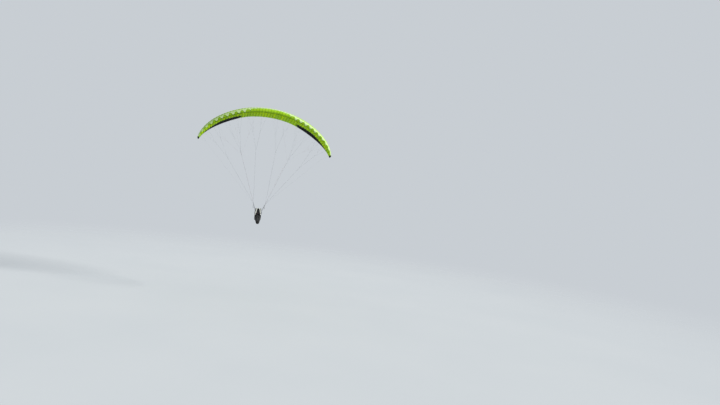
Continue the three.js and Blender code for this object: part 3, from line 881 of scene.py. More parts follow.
def sewn_box(build, kind, centre, along, across):
    """Zigzag thread and its border on both faces of a strap, in the build's second material."""
    length, width, half_thickness = SEWN[kind]
    along, across = unit(along), unit(across)
    face = np.cross(along, across)
    steps = np.linspace(-0.5, 0.5, 2 * ZIGZAG_ROWS + 1)
    zigzag = [(step, -0.5 * (-1) ** i) for i, step in enumerate(steps)]
    border = [(-0.5, -0.5), (0.5, -0.5), (0.5, 0.5), (-0.5, 0.5), (-0.5, -0.5)]
    for sign in (-1, 1):
        middle = centre + sign * (half_thickness + 0.0001) * face
        threads, edge = (
            np.array([middle + a * length * along + b * width * across for a, b in table])
            for table in (zigzag, border)
        )
        build.add(tube(threads, SEWING_THREAD, 4), 1)
        build.add(tube(resampled(edge, 17)[:-1], SEWING_THREAD, 4, closed=True), 1)


def add_speed_line(build):
    """Line down the front strap, over two small pulleys to a hook."""
    front = riser_along("a")
    ahead = np.array([0, -0.0075, 0])
    low, high = (RISER_BASE + front * height + ahead for height in (0.1, 0.36))
    for place in (low, high):
        build.add(spool([(0.0015, -0.003), (0.007, -0.003), (0.005, 0)], place), 2)
        strap = [place + (0, -0.001, 0) + front * 0.012, place, place - ahead * 0.9]
        build.add(ribbon(strap, 0.009, 0.0014))
    end = low + (0.004, -0.006, -0.06)
    build.add(tube([high + (0.004, -0.005, 0), low + (0.004, -0.006, 0), end], SPEED_LINE), 3)
    hook = ((0, 0, 0), (0.004, 0, -0.008), (0, 0, -0.018), (-0.004, 0, -0.01))
    build.add(tube([end + place for place in hook], 0.002), 2)


def make_risers(name, side):
    """Three straps that leave one loop on the carabiner and end in loops on their maillons."""
    build = Build(f"riser_straps_{name}", side)
    build.add(eye_loop(RISER_BASE))
    for row in ROWS:
        along, top = riser_along(row), riser_top(row)
        path = np.linspace(RISER_BASE + along * EYE["radius"], top - along * 0.006, 12)
        build.add(ribbon(path, STRAP["width"], STRAP["thickness"]))
        # the strap's end folds round the maillon's lower bar and is sewn back onto itself
        across = level_across(along)
        face = np.cross(along, across)
        rod = top + along * (MAILLON["rod"] / 2 + SEAT_GAP)
        turn = np.linspace(-0.1, 1.1, 11)[:, None] * math.pi
        fold = rod + STRAP["fold"] * (np.sin(turn) * along + np.cos(turn) * face)
        legs = [rod - along * reach + face * lift for reach, lift in STRAP_ENDS]
        back = [rod - along * reach - face * lift for reach, lift in reversed(STRAP_ENDS)]
        build.add(ribbon(np.concatenate([legs, fold, back]), STRAP["fold_width"], 0.0016, across))
        sewn_box(build, "riser", top - along * 0.028, along, across)
    # the three straps are bound together above the carabiner loop
    along = riser_along("b")
    low, high = (RISER_BASE + along * BINDING[end] for end in ("from", "to"))
    path = np.linspace(low, high, len(BINDING_WIDTHS))
    build.add(ribbon(path, BINDING_WIDTHS, BINDING["thickness"], count=10))
    sewn_box(build, "binding", RISER_BASE + along * 0.033, along, level_across(along))
    add_speed_line(build)
    build.piece("web stitch alloy line", "wing", "webbing", f"riser_{name}")


def make_maillons(name, side):
    """Screw links between each riser strap and its lines."""
    rod, width, height = MAILLON["rod"], MAILLON["width"], MAILLON["height"]
    for row in ROWS:
        build = Build(f"{row}_link_{name}", side)
        along = riser_along(row)
        across = unit(np.cross((0, 1, 0), along))
        turn = np.stack([across, np.cross(along, across), along], axis=1)
        seat = riser_top(row) + along * (height / 2 + SEAT_GAP)
        path = round_rectangle(width - rod, height - rod, MAILLON["corner"], 5)
        link = tube(path, rod / 2, 10, closed=True)
        gate = ((width - rod) / 2, 0, 0)
        barrel = spool([(0.0025, -0.008), (0.0034, -0.0075), (0.0036, 0)], gate, (0, 0, 1), 6)
        # rubber insert that keeps the lines in place
        insert = spool([(0.002, -0.005), (0.0042, -0.004), (0.0036, 0)], (0, 0, (height - rod) / 2), sides=12)
        for shape, slot in ((link, 0), (barrel, 0), (insert, 1)):
            build.add(set_at(shape, seat, turn), slot)
        build.piece("steel rubber", "wing", "steel", f"maillon_{row}_{name}")


def make_carabiner(name, side):
    """Main carabiner with a sleeve on its gate, grip rings and a hinge pin."""
    build = Build(f"main_carabiner_{name}", side)
    bar = CARABINER["bar"]
    width, height = CARABINER["width"] - bar, CARABINER["height"] - bar
    middle = np.array([HANG_X, 0, HANG_Z + height / 2])
    path = round_rectangle(width, height, CARABINER["corner"] - bar / 2, 8)
    build.add(set_at(tube(path, bar / 2, 14, closed=True), middle))
    gate = middle + (width / 2, 0, 0)
    build.add(lathe(GATE_SLEEVE, gate, (0, 0, 1), 24), 1)
    for z in np.linspace(-0.022, 0.01, 6):
        ring = circle(gate + (0, 0, z), 0.0066, 20, (1, 0, 0), (0, 1, 0))
        build.add(tube(ring, 0.0004, 4, closed=True), 1)
    build.add(spool([(0.001, -0.0062), (0.0022, -0.006)], gate - (0, 0, 0.034), (0, 1, 0), 12), 1)
    build.piece("alloy steel", "wing", "alloy", f"carabiner_{name}")


def make_pulley(name, side):
    """Brake pulley: grooved wheel between two cheeks, held to the rear strap by a short tab."""
    build = Build(f"brake_block_{name}", side)
    radius = PULLEY["radius"]
    rim = radius - PULLEY["rim"]
    build.add(spool([(0.002, -0.0022), (rim, -0.0022), (radius - 0.0035, 0)], pulley_centre))
    for across in (-0.0033, 0.0033):
        cheek = [(0.001, -0.0006), (radius * 0.82, -0.0006), (radius * 0.86, 0)]
        build.add(spool(cheek, pulley_centre + (across, 0, 0), sides=16), 1)
    build.add(spool([(0.0008, -0.0046), (0.0022, -0.0044)], pulley_centre), 1)
    tab = [pulley_seat, pulley_seat + (0, 0.006, 0.001), pulley_centre - (0, radius * 0.5, 0)]
    build.add(ribbon(tab, [0.012, 0.009, 0.0045], 0.0016), 2)
    build.piece("rubber steel web", "wing", "steel", f"brake_pulley_{name}")


stub_top = pulley_centre - (0, 0, PULLEY["radius"] + SEAT_GAP)
loop_top = stub_top - (0, 0, TOGGLE["drop"])


def make_toggle(name, side):
    """Brake handle: a padded loop with a firm grip, piping and a swivel, and the line that it pulls."""
    build = Build(f"brake_handle_{name}", side)
    bar = TOGGLE["bar"]
    middle = loop_top - (0, 0, TOGGLE["height"] / 2 - TOGGLE["overlap"])
    path = round_rectangle(TOGGLE["width"] - bar, TOGGLE["height"] - bar, TOGGLE["corner"] - bar / 2, 7)
    path = resampled(np.concatenate([path, path[:1]]), 65)[:-1]
    radii = TOGGLE["loop"] + TOGGLE["grip"] * smooth_step(0.0, 0.05, -path[:, 2])
    build.add(set_at(tube(path, radii, 12, closed=True), middle))
    build.add(set_at(tube(path + unit(path) * radii[:, None], TOGGLE["piping"], 5, closed=True), middle), 1)
    build.add(lathe(SWIVEL, loop_top, (0, 0, 1), 14), 2)
    foot = middle - (0, 0, (TOGGLE["height"] - bar) / 2)
    build.add(spool([(0.001, -0.0062), (0.0052, -0.006), (0.0056, 0)], foot, (0, 1, 0), 14), 2)
    body = f"{name}_brake"
    build.piece("pod stripe steel", body, "toggle_fabric", f"brake_toggle_{name}")
    stub = Build(f"brake_cord_{name}", side)
    path = np.linspace(stub_top, loop_top, 16) + (0, 0, TOGGLE["knot"])
    stub.add(tube(path, LINE_RADIUS["main"], 8))
    cord = stub.make(MATERIALS["brake_line"])
    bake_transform(cord)


# Harness: x, y and z from the carabiners' axis, in millimetres as in the CAD source

def hung(points):
    """Points given in millimetres from the carabiners' axis, in metres."""
    return (np.asarray(points, float) + (0, 0, HANG_Z / MM)) * MM


def creased(rings, away, amount, scale, seed, fade):
    """Rings drawn in against away by soft creases; fade is the share that each point takes."""
    lift = [noise.fractal(Vector(p), 0.8, 2.1, 3) for p in rings.reshape(-1, 3) * scale + seed]
    return rings - away * (np.abs(lift).reshape(rings.shape[:2]) * amount * fade)[..., None]


# columns: spine y, z; inner wall's foot y, z; front edge y, z
SHELL_STATIONS = [
    [-190, -560, -190, -536, -190, -290], [-40, -581, -40, -536, -65, -272], [110, -600, 112, -536, 60, -250],
    [195, -568, 176, -500, 118, -200], [250, -512, 222, -455, 162, -152], [286, -412, 258, -372, 200, -110],
    [322, -300, 296, -290, 236, -62], [358, -172, 332, -168, 276, 5], [392, -50, 366, -50, 308, 60],
    [406, 70, 380, 66, 345, 118], [414, 170, 390, 168, 376, 184], [409, 232, 396, 232, 400, 238],
]
SHELL = {"half": 208, "narrowing": 22, "wall": 12, "corner": 85, "steps": 5, "edge_points": 9, "bulge": 5}
SHELL_SEAMS = (12, 30, 44)


def shell_section(foot, edge, half, corner):
    """Points from one front edge round the back to the other, at x, and along foot to edge."""
    reach = np.linalg.norm(edge - foot)
    direction = (edge - foot) / reach
    curve = min(corner, reach * 0.8)
    wall = np.linspace(reach, curve, SHELL["edge_points"])
    bottom = np.linspace(-math.pi / 2, math.pi / 2, 19)[1:-1]
    x = np.concatenate([0 * wall - half, half * signed_power(np.sin(bottom), 0.6), 0 * wall + half])
    b = np.concatenate([wall, curve * (1 - np.abs(np.cos(bottom)) ** 0.6), wall[::-1]])
    on_side = np.sign(x) * (np.abs(x) > half * 0.98)
    x = x + SHELL["bulge"] * np.sin(math.pi * np.clip(b / reach, 0, 1)) * on_side
    return np.stack([x, foot[0] + b * direction[0], foot[1] + b * direction[1]], axis=1)


def shell_rings():
    """The outer and the inner face of the shell, in millimetres."""
    smooth = curve_through(SHELL_STATIONS, SHELL["steps"]).reshape(-1, 3, 2)
    outer, inner = [], []
    for rise, (spine, foot, edge) in zip(np.linspace(0, 1, len(smooth)), smooth):
        half = SHELL["half"] - SHELL["narrowing"] * smooth_step(0.55, 1.0, rise)
        outer.append(shell_section(spine, edge, half, SHELL["corner"]))
        inner.append(shell_section(foot, edge, half - SHELL["wall"], SHELL["corner"] * 0.8))
    return outer, inner


def make_shell():
    """Seat and back shell of the harness: a padded wall that runs round the back, open in front."""
    outer, inner = (hung(rings) for rings in shell_rings())
    count = outer.shape[1]
    away = unit((outer - outer.mean(axis=1, keepdims=True)) * (1, 0.6, 0.6))
    outer = creased(outer, away, 0.0045, (7, 9, 5), 0.0, np.sin(np.linspace(0, math.pi, count)) ** 0.3)
    points, faces = grid(np.concatenate([outer, inner[:, ::-1]], axis=1), round_columns=True)
    width = 2 * count
    last = len(points) - width
    for i in range(count - 1):
        j = width - 1 - i
        faces += [(i, j, j - 1, i + 1), (last + i, last + i + 1, last + j - 1, last + j)]
    build = Build("harness_body")
    build.add((points, faces))
    # piping along the front edges and along the seams of the side panels
    for from_edge, radius, slot in ((0, 0.005, 1), (7, 0.0022, 2)):
        for column in (from_edge, count - 1 - from_edge):
            build.add(tube(outer[:, column], radius, 8), slot)
    for station in SHELL_SEAMS:
        build.add(tube(outer[station], 0.0018), 2)
    build.add(tube(resampled((outer[0] + inner[0]) / 2, 60), 0.007, 8), 1)
    build.piece("pod web piping", "harness", "pod_fabric", "harness_shell", fill=0.4)


# columns: y, z, half width, half height
POD_RINGS = [[-190.5, -425, 207, 138], [-420, -478, 186, 132], [-660, -586, 148, 114], [-880, -684, 112, 110]]
POD = {"wall": 14, "sides": 40, "steps": 12, "soften": 0.88, "toe": 24, "toe_drop": 6, "crease_fade": 14}
# columns: column of points, radius, material
POD_SEAMS = ((POD["sides"] // 4, 0.0022, 2), (3 * POD["sides"] // 4, 0.0022, 2), (3, 0.0016, 1),
             (POD["sides"] - 3, 0.0016, 1))
POD_TEETH = 130


def pod_ring(y, z, half_width, half_height, inset=0.0):
    angles = turns(POD["sides"])
    x = (half_width - inset) * signed_power(np.sin(angles), POD["soften"])
    up = (half_height - inset) * signed_power(np.cos(angles), POD["soften"])
    return np.stack([x, np.full_like(x, y), z + up], axis=1)


def add_teeth(build, path, size, swing):
    """Zip teeth along a path, which swing to one side and the other by turns."""
    for i, place in enumerate(path):
        build.add(block(size, place + np.multiply(swing, (-1) ** i), 0.0004, 1), 3)


def make_pod():
    """Leg cover: a long soft cone with a firm toe, seams, and a zip along its top."""
    stations = curve_through(POD_RINGS, POD["steps"])
    outer = [pod_ring(*row) for row in stations]
    y, z, half_width, half_height = stations[-1]
    for angle in np.linspace(0, math.pi / 2, 8)[1:-1]:
        share = math.cos(angle) ** 0.7
        rear, low = y - POD["toe"] * math.sin(angle), z - POD["toe_drop"] * math.sin(angle)
        outer.append(pod_ring(rear, low, half_width * share, half_height * share))
    outer = hung(outer)
    inner = hung([pod_ring(*row, inset=POD["wall"]) for row in stations[:-1]])
    order = np.arange(len(outer))
    from_rim, from_toe = (np.clip(steps / POD["crease_fade"], 0, 1) for steps in (order, len(outer) - order))
    away = unit(outer - outer.mean(axis=1, keepdims=True))
    outer = creased(outer, away, 0.008, (4, 14, 5), 3.7, (from_rim * from_toe)[:, None])
    build = Build("leg_cover")
    build.add(loft(np.concatenate([inner[::-1], outer])))
    for column, radius, slot in POD_SEAMS:
        build.add(tube(outer[:-3, column], radius), slot)
    for station in (24, len(stations) - 3):
        build.add(tube(outer[station], 0.0019, closed=True), 1)
    build.add(tube((outer[0] + inner[0]) / 2, 0.0072, 8, closed=True), 1)
    # zip: tape, two rows of teeth and a puller
    top_line = outer[6:-8, 0] + (0, 0, 0.0006)
    build.add(ribbon(top_line, 0.022, 0.0012, count=6), 1)
    path = resampled(top_line, POD_TEETH) + (0, 0, 0.0014)
    add_teeth(build, path, (0.0032, 0.0028, 0.0016), (0.0012, 0, 0))
    puller = path[POD_TEETH // 5]
    build.add(block((0.008, 0.016, 0.004), puller + (0, 0, 0.002), 0.0014, 2), 3)
    cord = ((0, 0.008, 0.003), (0.004, 0.02, 0.006), (0.002, 0.036, 0.004), (-0.003, 0.02, 0.005),
            (0, 0.008, 0.003))
    build.add(tube([puller + place for place in cord], 0.0012, 5), 4)
    build.piece("pod web piping steel handle", "harness", "pod_fabric", "leg_pod", fill=0.3)


# Padded pieces: each grows from its node's solid, puffed up as cloth under pressure, and then gets its seams

PAD = {"voxel": 0.008, "frames": 20, "rounds": 8, "pressure": 4.0}
STITCH = 0.0005


def triples(items, value):
    flat = np.empty(len(items) * 3)
    items.foreach_get(value, flat)
    return flat.reshape(-1, 3)


def coordinates(mesh):
    return triples(mesh.vertices, "co")


def normals_of(mesh):
    return triples(mesh.vertex_normals, "vector")


def put(mesh, points):
    mesh.vertices.foreach_set("co", np.ascontiguousarray(points, float).ravel())
    mesh.update()


def applied(obj):
    """Gives the object the mesh that its modifiers make, and takes them off."""
    made = bpy.data.meshes.new_from_object(obj.evaluated_get(bpy.context.evaluated_depsgraph_get()))
    obj.modifiers.clear()
    obj.data = made


def softened(mesh, rounds):
    """Evens out a mesh: each point moves half way to the middle of its neighbours."""
    edges = np.empty(len(mesh.edges) * 2, int)
    mesh.edges.foreach_get("vertices", edges)
    a, b = edges.reshape(-1, 2).T
    points = coordinates(mesh)
    count = np.bincount(edges, minlength=len(points))[:, None]
    for _ in range(rounds):
        total = np.zeros_like(points)
        np.add.at(total, a, points[b])
        np.add.at(total, b, points[a])
        points = (points + total / count) / 2
    put(mesh, points)


def stuffed(name, node, cap, shrink):
    """A soft copy of a node's solid: remeshed, puffed up by no more than cap, and subdivided once."""
    obj = bpy.data.objects.new(name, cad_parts[node].data.copy())
    obj.data.materials.clear()
    bpy.context.scene.collection.objects.link(obj)
    remesh = obj.modifiers.new("remesh", "REMESH")
    remesh.mode = "VOXEL"
    remesh.voxel_size = PAD["voxel"]
    applied(obj)
    softened(obj.data, PAD["rounds"])
    start = coordinates(obj.data) - normals_of(obj.data) * shrink
    put(obj.data, start)
    cloth = obj.modifiers.new("puff", "CLOTH")
    cloth.settings.use_pressure = True
    cloth.settings.uniform_pressure_force = PAD["pressure"]
    cloth.settings.effector_weights.gravity = 0
    for step in range(1, PAD["frames"] + 1):
        bpy.context.scene.frame_set(step)
    applied(obj)
    bpy.context.scene.frame_set(1)
    moved = coordinates(obj.data) - start
    reach = np.linalg.norm(moved, axis=1, keepdims=True)
    put(obj.data, start + moved * np.minimum(1, cap / np.maximum(reach, 1e-9)))
    softened(obj.data, 2)
    obj.modifiers.new("finer", "SUBSURF").levels = 1
    applied(obj)
    obj.data.shade_smooth()
    return obj


def stitches(path, length=0.0035, gap=0.0025):
    """Short threads along a path."""
    reach = np.linalg.norm(np.diff(path, axis=0), axis=1).sum()
    marks = resampled(path, max(3, int(reach / (length + gap)) * 2 + 1))
    build = Build("thread")
    for a, b in zip(marks[:-1:2], marks[1::2]):
        build.add(tube([a, b], STITCH, 4))
    return np.concatenate(build.points), build.faces


class Pad:
    """A soft copy of a solid with its trim. Guides and lines are in millimetres from the carabiners' axis."""

    def __init__(self, name, node, cap, shrink=0.004):
        self.node = node
        self.obj = stuffed(name, node, cap, shrink)
        self.trim = Build(f"{name}_trim")
        self.x, self.y, self.z = (coordinates(self.obj.data) / MM - (0, 0, HANG_Z / MM)).T

    def sew(self, distance, facing, depth=5.0, width=7.0):
        """Draws in the faces that look towards facing; distance is from the nearest seam, in millimetres."""
        normals = normals_of(self.obj.data)
        sunk = depth * np.exp(-(distance / width) ** 2) * np.clip(normals @ unit(facing) * 2, 0, 1)
        put(self.obj.data, coordinates(self.obj.data) - normals * (sunk * MM)[:, None])

    def sewn(self):
        """Takes the surface with its seams, which the trim lies on."""
        faces = [tuple(face.vertices) for face in self.obj.data.polygons]
        self.tree = BVHTree.FromPolygons(coordinates(self.obj.data).tolist(), faces)

    def cast(self, start, end, facing, count=40):
        """A line across the surface from start to end, looked at along facing."""
        towards = unit(facing)
        places = hung(np.linspace(start, end, count) + towards * 400)
        hits = [self.tree.ray_cast(Vector(place), Vector(-towards))[0] for place in places]
        return np.array([hit for hit in hits if hit is not None])

    def stitch(self, start, end, facing):
        self.trim.add(stitches(self.cast(start, end, facing)), 1)

    def pipe(self, guide, radius=0.0026, slot=0):
        """Piping round the surface, where it is nearest to a closed guide."""
        path = [self.tree.find_nearest(Vector(place))[0] for place in hung(guide)]
        self.trim.add(tube(path, radius, closed=True), slot)

    def finish(self, material, slot, fill):
        self.obj.data.materials.append(MATERIALS[material])
        told(self.obj, "harness", slot, self.node, fill=fill)
        self.trim.piece("hem stitch piping steel", "harness", "webbing")


def nearest_of(values, marks):
    return np.abs(values[:, None] - np.asarray(marks, float)[None, :]).min(axis=1)


def loop(steps, *right):
    """A closed guide through corners on the right side and their mirror images, straight between them."""
    left = [(-x, y, z) for x, y, z in right]
    corners = np.array([left[0], *right, *reversed(left[1:])], float)
    spread = np.linspace(0, 1, steps, endpoint=False)[:, None]
    return np.concatenate([a + (b - a) * spread for a, b in zip(corners, np.roll(corners, -1, axis=0))])


def make_seat_cushion():
    pad = Pad("sitting_cushion", "seat_cushion", 0.009)
    seams = (-80, 15)
    up = (0, 0, 1)
    pad.sew(nearest_of(pad.y, seams), up)
    pad.sewn()
    pad.pipe(loop(16, (180, -186, -511), (180, 126, -511)))
    for y in seams:
        pad.stitch((-150, y, -511), (150, y, -511), up)
    pad.finish("pad", "pad_fabric", 0.6)


def make_back_pad():
    pad = Pad("lumbar_pad", "back_pad", 0.009)
    seams = (-350, -235, -120, -5, 95)
    forward = (0, -1, 0.25)
    pad.sew(nearest_of(pad.z + 0.25 * pad.y - 80, seams), forward)
    pad.sew(nearest_of(pad.x, (-78, 78)), forward, 3.5, 6)
    pad.sewn()
    middle = curve_through([(0, 211, -452), (0, 281, -285), (0, 351, -46), (0, 372, 157)], 10)
    rise = tangents(middle)
    across = np.linspace(-150, 150, 24)[:, None] * (1, 0, 0)
    top = middle[-1] + rise[-1] * 14 - across
    foot = middle[0] - rise[0] * 14 + across
    pad.pipe(np.concatenate([middle + (164, 0, 0), top, middle[::-1] - (164, 0, 0), foot]))
    for z in seams:
        y = np.interp(z, middle[:, 2], middle[:, 1])
        height = z - 0.25 * y + 80
        pad.stitch((-140, y, height), (140, y, height), forward)
    pad.finish("pad", "pad_fabric", 0.6)


def make_headrest():
    pad = Pad("neck_pad", "headrest", 0.004, shrink=0.002)
    pad.sewn()
    pad.pipe(loop(8, (46, 370, 222), (50, 366, 170)), 0.0018)
    pad.finish("pad", "pad_fabric", 0.7)


def make_rear_pocket():
    pad = Pad("back_pocket", "rear_pocket", 0.012, shrink=0.005)
    backward = (0, 1, 0.1)
    side_seams = (-112, 112)
    pad.sew(nearest_of(pad.z, (40,)), backward, 5, 6)
    pad.sew(nearest_of(pad.x, side_seams), backward, 3.5, 7)
    pad.sewn()
    pad.pipe(loop(12, (156, 436, 118), (160, 452, -40), (158, 440, -215), (140, 380, -322)), slot=2)
    path = pad.cast((-128, 440, 40), (128, 440, 40), backward, 60)
    pad.trim.add(ribbon(path, 0.02, 0.0012, (0, 0, 1), 6))
    add_teeth(pad.trim, resampled(path + (0, 0.0012, 0), 84), (0.0026, 0.0018, 0.0032), (0, 0, 0.0012))
    pad.trim.add(block((0.014, 0.004, 0.009), path[6] + (0, 0.003, 0), 0.0014, 2), 3)
    for x in side_seams:
        pad.stitch((x, 440, -250), (x, 440, 25), backward)
    pad.finish("pod", "pod_fabric", 0.5)


def make_reserve_container():
    pad = Pad("reserve_bag", "reserve_container", 0.014, shrink=0.006)
    down = (0, 0, -1)
    # four flaps meet in the middle of the underside
    pad.sew(np.abs(np.abs(pad.x) - np.abs(pad.y + 32) * 1.12) * 0.7, down, 4.5, 6)
    pad.sewn()
    for z, half, front, rear, slot in ((-590, 134, -176, 88, 2), (-648, 132, -150, 78, 0)):
        pad.pipe(loop(12, (half, front, z), (half, rear, z)), 0.0024, slot)
    for end_x in (-100, 100):
        for end_y in (-121, 57):
            pad.stitch((end_x, end_y, -650), (0, -32, -650), down)
    middle = pad.cast((0, -32, -650), (0.1, -32, -650), down, 2)[0]
    button = [(0.004, 0.002), (0.009, 0.001), (0.0105, -0.0012), (0.008, -0.003), (0.004, -0.0032)]
    pad.trim.add(lathe(button, middle, (0, 0, 1), 18), 3)
    pad.finish("pod", "pod_fabric", 0.5)


def make_cockpit():
    pad = Pad("instrument_deck", "cockpit_deck", 0.007, shrink=0.003)
    pad.sewn()
    # hook-and-loop panel on the slope that faces the pilot, with a bound border
    panel = pad.cast((0, -338, -232), (0, -232, -280), (0, 0.45, 0.9), 14)
    half = 0.095
    pad.trim.add(ribbon(panel, 2 * half, 0.0022, count=12, power=0.2))
    for x in (-half, half):
        pad.trim.add(tube(panel + (x, 0, 0.0006), 0.0018), 2)
    for place in (panel[0], panel[-1]):
        pad.trim.add(tube(np.linspace(place - (half, 0, 0), place + (half, 0, 0), 6), 0.0018), 2)
    front = pad.cast((-100, -400, -292), (100, -400, -292), (0, -1, 0.1))
    pad.trim.add(ribbon(front, 0.018, 0.0012, (0, 0, 1), 6))
    add_teeth(pad.trim, resampled(front - (0, 0.0012, 0), 66), (0.0026, 0.0018, 0.003), (0, 0, 0.0011))
    pad.pipe(loop(14, (128, -412, -338), (128, -212, -290)), 0.0024, 2)
    pad.finish("pod", "pod_fabric", 0.4)


# Plates, webbing and straps of the harness

WEB_BESIDE_SHELL = 216
WEB_FORK = (WEB_BESIDE_SHELL, 0, -230)
WEB_ENDS = ((165, -430), (-130, -430))
WEB = {"width": 0.0248, "thickness": 0.004, "leg": 0.0034, "patch": 0.04}
ADJUSTER_AT = 15
SHOULDER_PATH = [(80, 385, 172), (80, 378, 213), (88, 332, 234), (104, 240, 197), (126, 150, 105),
                 (150, 80, -20), (170, 38, -130), (176, 26, -170), (190, 13, -203), (212, 2, -228)]
SHOULDER = {"steps": 90, "width": 0.056, "narrowed": 0.031, "collar": 0.01, "thickness": 0.0085,
            "seam": 0.017}
# parts of the shoulder strap, as steps along it
PADDED, WEBBED, BOUND, STITCHED, KEEPER = (
    slice(*ends) for ends in ((0, 86), (80, 90), (2, 84), (4, 80), (60, 66))
)
# columns: x, y, and z from the strap's own height
CHEST_PATH = ((191, 4.6, 0), (211, 4.8, 0), (233, 4.6, 0), (240.5, 2, 0), (240.5, -2, 0), (233, -4.6, 0),
              (185, -4.4, 0), (100, -4.4, -3), (16, -4.4, -4))
CHEST = {"height": -110, "front": -4.4, "rear": 4.7, "width": 0.025, "thickness": 0.00245, "sewn": 198}
# columns: size, place from the buckle's middle, bevel, its steps, material
CLIP_BLOCKS = (
    ((0.034, 0.0085, 0.034), (-0.0135, 0, 0), 0.003, 3, 0),
    ((0.017, 0.0075, 0.032), (0.0215, 0, 0), 0.0026, 3, 0),
    ((0.014, 0.0035, 0.018), (0.008, 0, 0), 0.0012, 2, 1),
    ((0.015, 0.002, 0.015), (-0.0135, -0.0045, 0), 0.0009, 2, 2),
    *(((0.02, 0.005, 0.004), (0.006, 0, z), 0.0012, 2, 0) for z in (-0.014, 0.014)),
    *(((0.0014, 0.001, 0.026), (x, -0.004, 0), 0.0004, 1, 0) for x in (0.017, 0.021, 0.025)),
)
# columns: depth and reach, as shares of half the foot plate's size
PLATE_RIM = ((1, 0.9), (1, 0.965), (0.75, 0.99), (0, 1), (-0.75, 0.99), (-1, 0.965), (-1, 0.9))


def middle_and_size(node):
    low, high = (np.array(corner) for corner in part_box(node))
    return (low + high) / 2, high - low


def make_plates():
    """The seat board, and a foot plate with rounded rims."""
    centre, size = middle_and_size("seat_board")
    board = single("sitting_board", block(size, centre, 0.0035, 3), MATERIALS["plate"])
    centre, size = middle_and_size("foot_plate")
    angles = turns(48)
    width, height = (signed_power(form, 0.82) for form in (np.cos(angles), np.sin(angles)))
    rings = [
        centre + size / 2 * np.stack([reach * width, depth + 0 * angles, reach * height], axis=1)
        for depth, reach in PLATE_RIM
    ]
    plate = single("footrest_plate", loft(rings), MATERIALS["plate"])
    told(board, "harness", "board", "seat_board")
    told(plate, "harness", "plate", "foot_plate")


def make_hang_web(name, side):
    """Main webbing: a loop on the carabiner, a twist, and two legs sewn to the shell's side."""
    build = Build(f"main_web_{name}", side)
    centre = np.array([HANG_X, 0, HANG_Z])
    build.add(eye_loop(centre))
    fork = hung(WEB_FORK)
    share = np.linspace(0, 1, 24)[:, None]
    start = centre - (0, 0, EYE["radius"])
    path = start + (fork - start) * share
    twist = smooth_step(0.35, 0.9, share) * math.pi / 2
    across = np.cos(twist) * (1, 0, 0) + np.sin(twist) * (0, 1, 0)
    build.add(ribbon(path, WEB["width"], WEB["thickness"], across, count=10))
    sewn_box(build, "web", centre - (0, 0, 0.036), (0, 0, -1), (1, 0, 0))
    for y, z in WEB_ENDS:
        end = hung((WEB_BESIDE_SHELL - 1.5, y, z))
        along = unit(end - fork)
        flat = unit(np.cross(along, (1, 0, 0)))
        build.add(ribbon(np.linspace(fork - along * 0.012, end, 10), WEB["width"], WEB["leg"], flat, 10))
        patch = np.linspace(end - along * 0.075, end + along * 0.006, 4)
        build.add(ribbon(patch, WEB["patch"], 0.0018, flat))
        sewn_box(build, "leg", end - along * 0.035, along, flat)
    # adjusting buckle of two bars
    direction = across[ADJUSTER_AT]
    turn = np.stack([direction, np.cross((0, 0, 1), direction), (0, 0, 1)], axis=1)
    bars = [tube(round_rectangle(0.034, 0.028, 0.005, 4), 0.0022, 8, closed=True)]
    for z in (-0.0045, 0.0045):
        bars.append(tube(np.linspace((-0.016, 0.0026, z), (0.016, 0.0026, z), 4), 0.0018, 8))
    for bar in bars:
        build.add(set_at(bar, path[ADJUSTER_AT], turn), 2)
    build.piece("web stitch steel", "harness", "webbing", f"hang_web_{name}")


def make_shoulder_strap(name, side):
    """Padded light strap over the shoulder, bound at its edges, that ends in narrow webbing."""
    build = Build(f"padded_strap_{name}", side)
    path = resampled(curve_through(hung(SHOULDER_PATH), 10), SHOULDER["steps"])
    face = unit(np.cross(tangents(path), (1, 0, 0)))
    share = np.linspace(0, 1, len(path))
    widths = SHOULDER["width"] - SHOULDER["narrowed"] * smooth_step(0.93, 0.955, share)
    widths -= SHOULDER["collar"] * np.exp(-(share / 0.05) ** 2)
    build.add(ribbon(path[PADDED], widths[PADDED], SHOULDER["thickness"], count=14, power=0.5))
    build.add(ribbon(path[WEBBED], 0.025, 0.0024), 1)
    for sign in (-1, 1):
        build.add(tube(path[BOUND] + sign * widths[BOUND, None] / 2 * (1, 0, 0), 0.0024), 1)
        seam = path[STITCHED] + (sign * SHOULDER["seam"], 0, 0) + face[STITCHED] * 0.0042
        build.add(stitches(seam, 0.004, 0.003), 2)
    build.add(ribbon(path[KEEPER] - face[KEEPER] * 0.005, 0.03, 0.0016), 1)
    build.piece("stripe web stitch", "harness", "stripe_fabric", f"shoulder_strap_{name}", fill=0.3)


def make_chest_strap():
    """Strap between the two hang webs: its ends fold round them, and a buckle closes it in the middle."""
    build = Build("chest_webbing")
    for side in (1, -1):
        path = curve_through(hung(np.multiply(CHEST_PATH, (side, 1, 1)) + (0, 0, CHEST["height"])), 5)
        build.add(ribbon(path, CHEST["width"], CHEST["thickness"], (0, 0, 1)))
        for y in (CHEST["front"], CHEST["rear"]):
            middle = hung((side * CHEST["sewn"], y, CHEST["height"]))
            sewn_box(build, "chest", middle, (1, 0, 0), (0, 0, 1))
    build.piece("web stitch", "harness", "webbing", "chest_strap")
    clip = Build("chest_clip")
    centre = hung((0, -10.5, CHEST["height"] - 4))
    for size, place, bevel, steps, slot in CLIP_BLOCKS:
        clip.add(block(size, centre + place, bevel, steps), slot)
    clip.piece("buckle steel handle", "harness", "buckle", "chest_buckle")


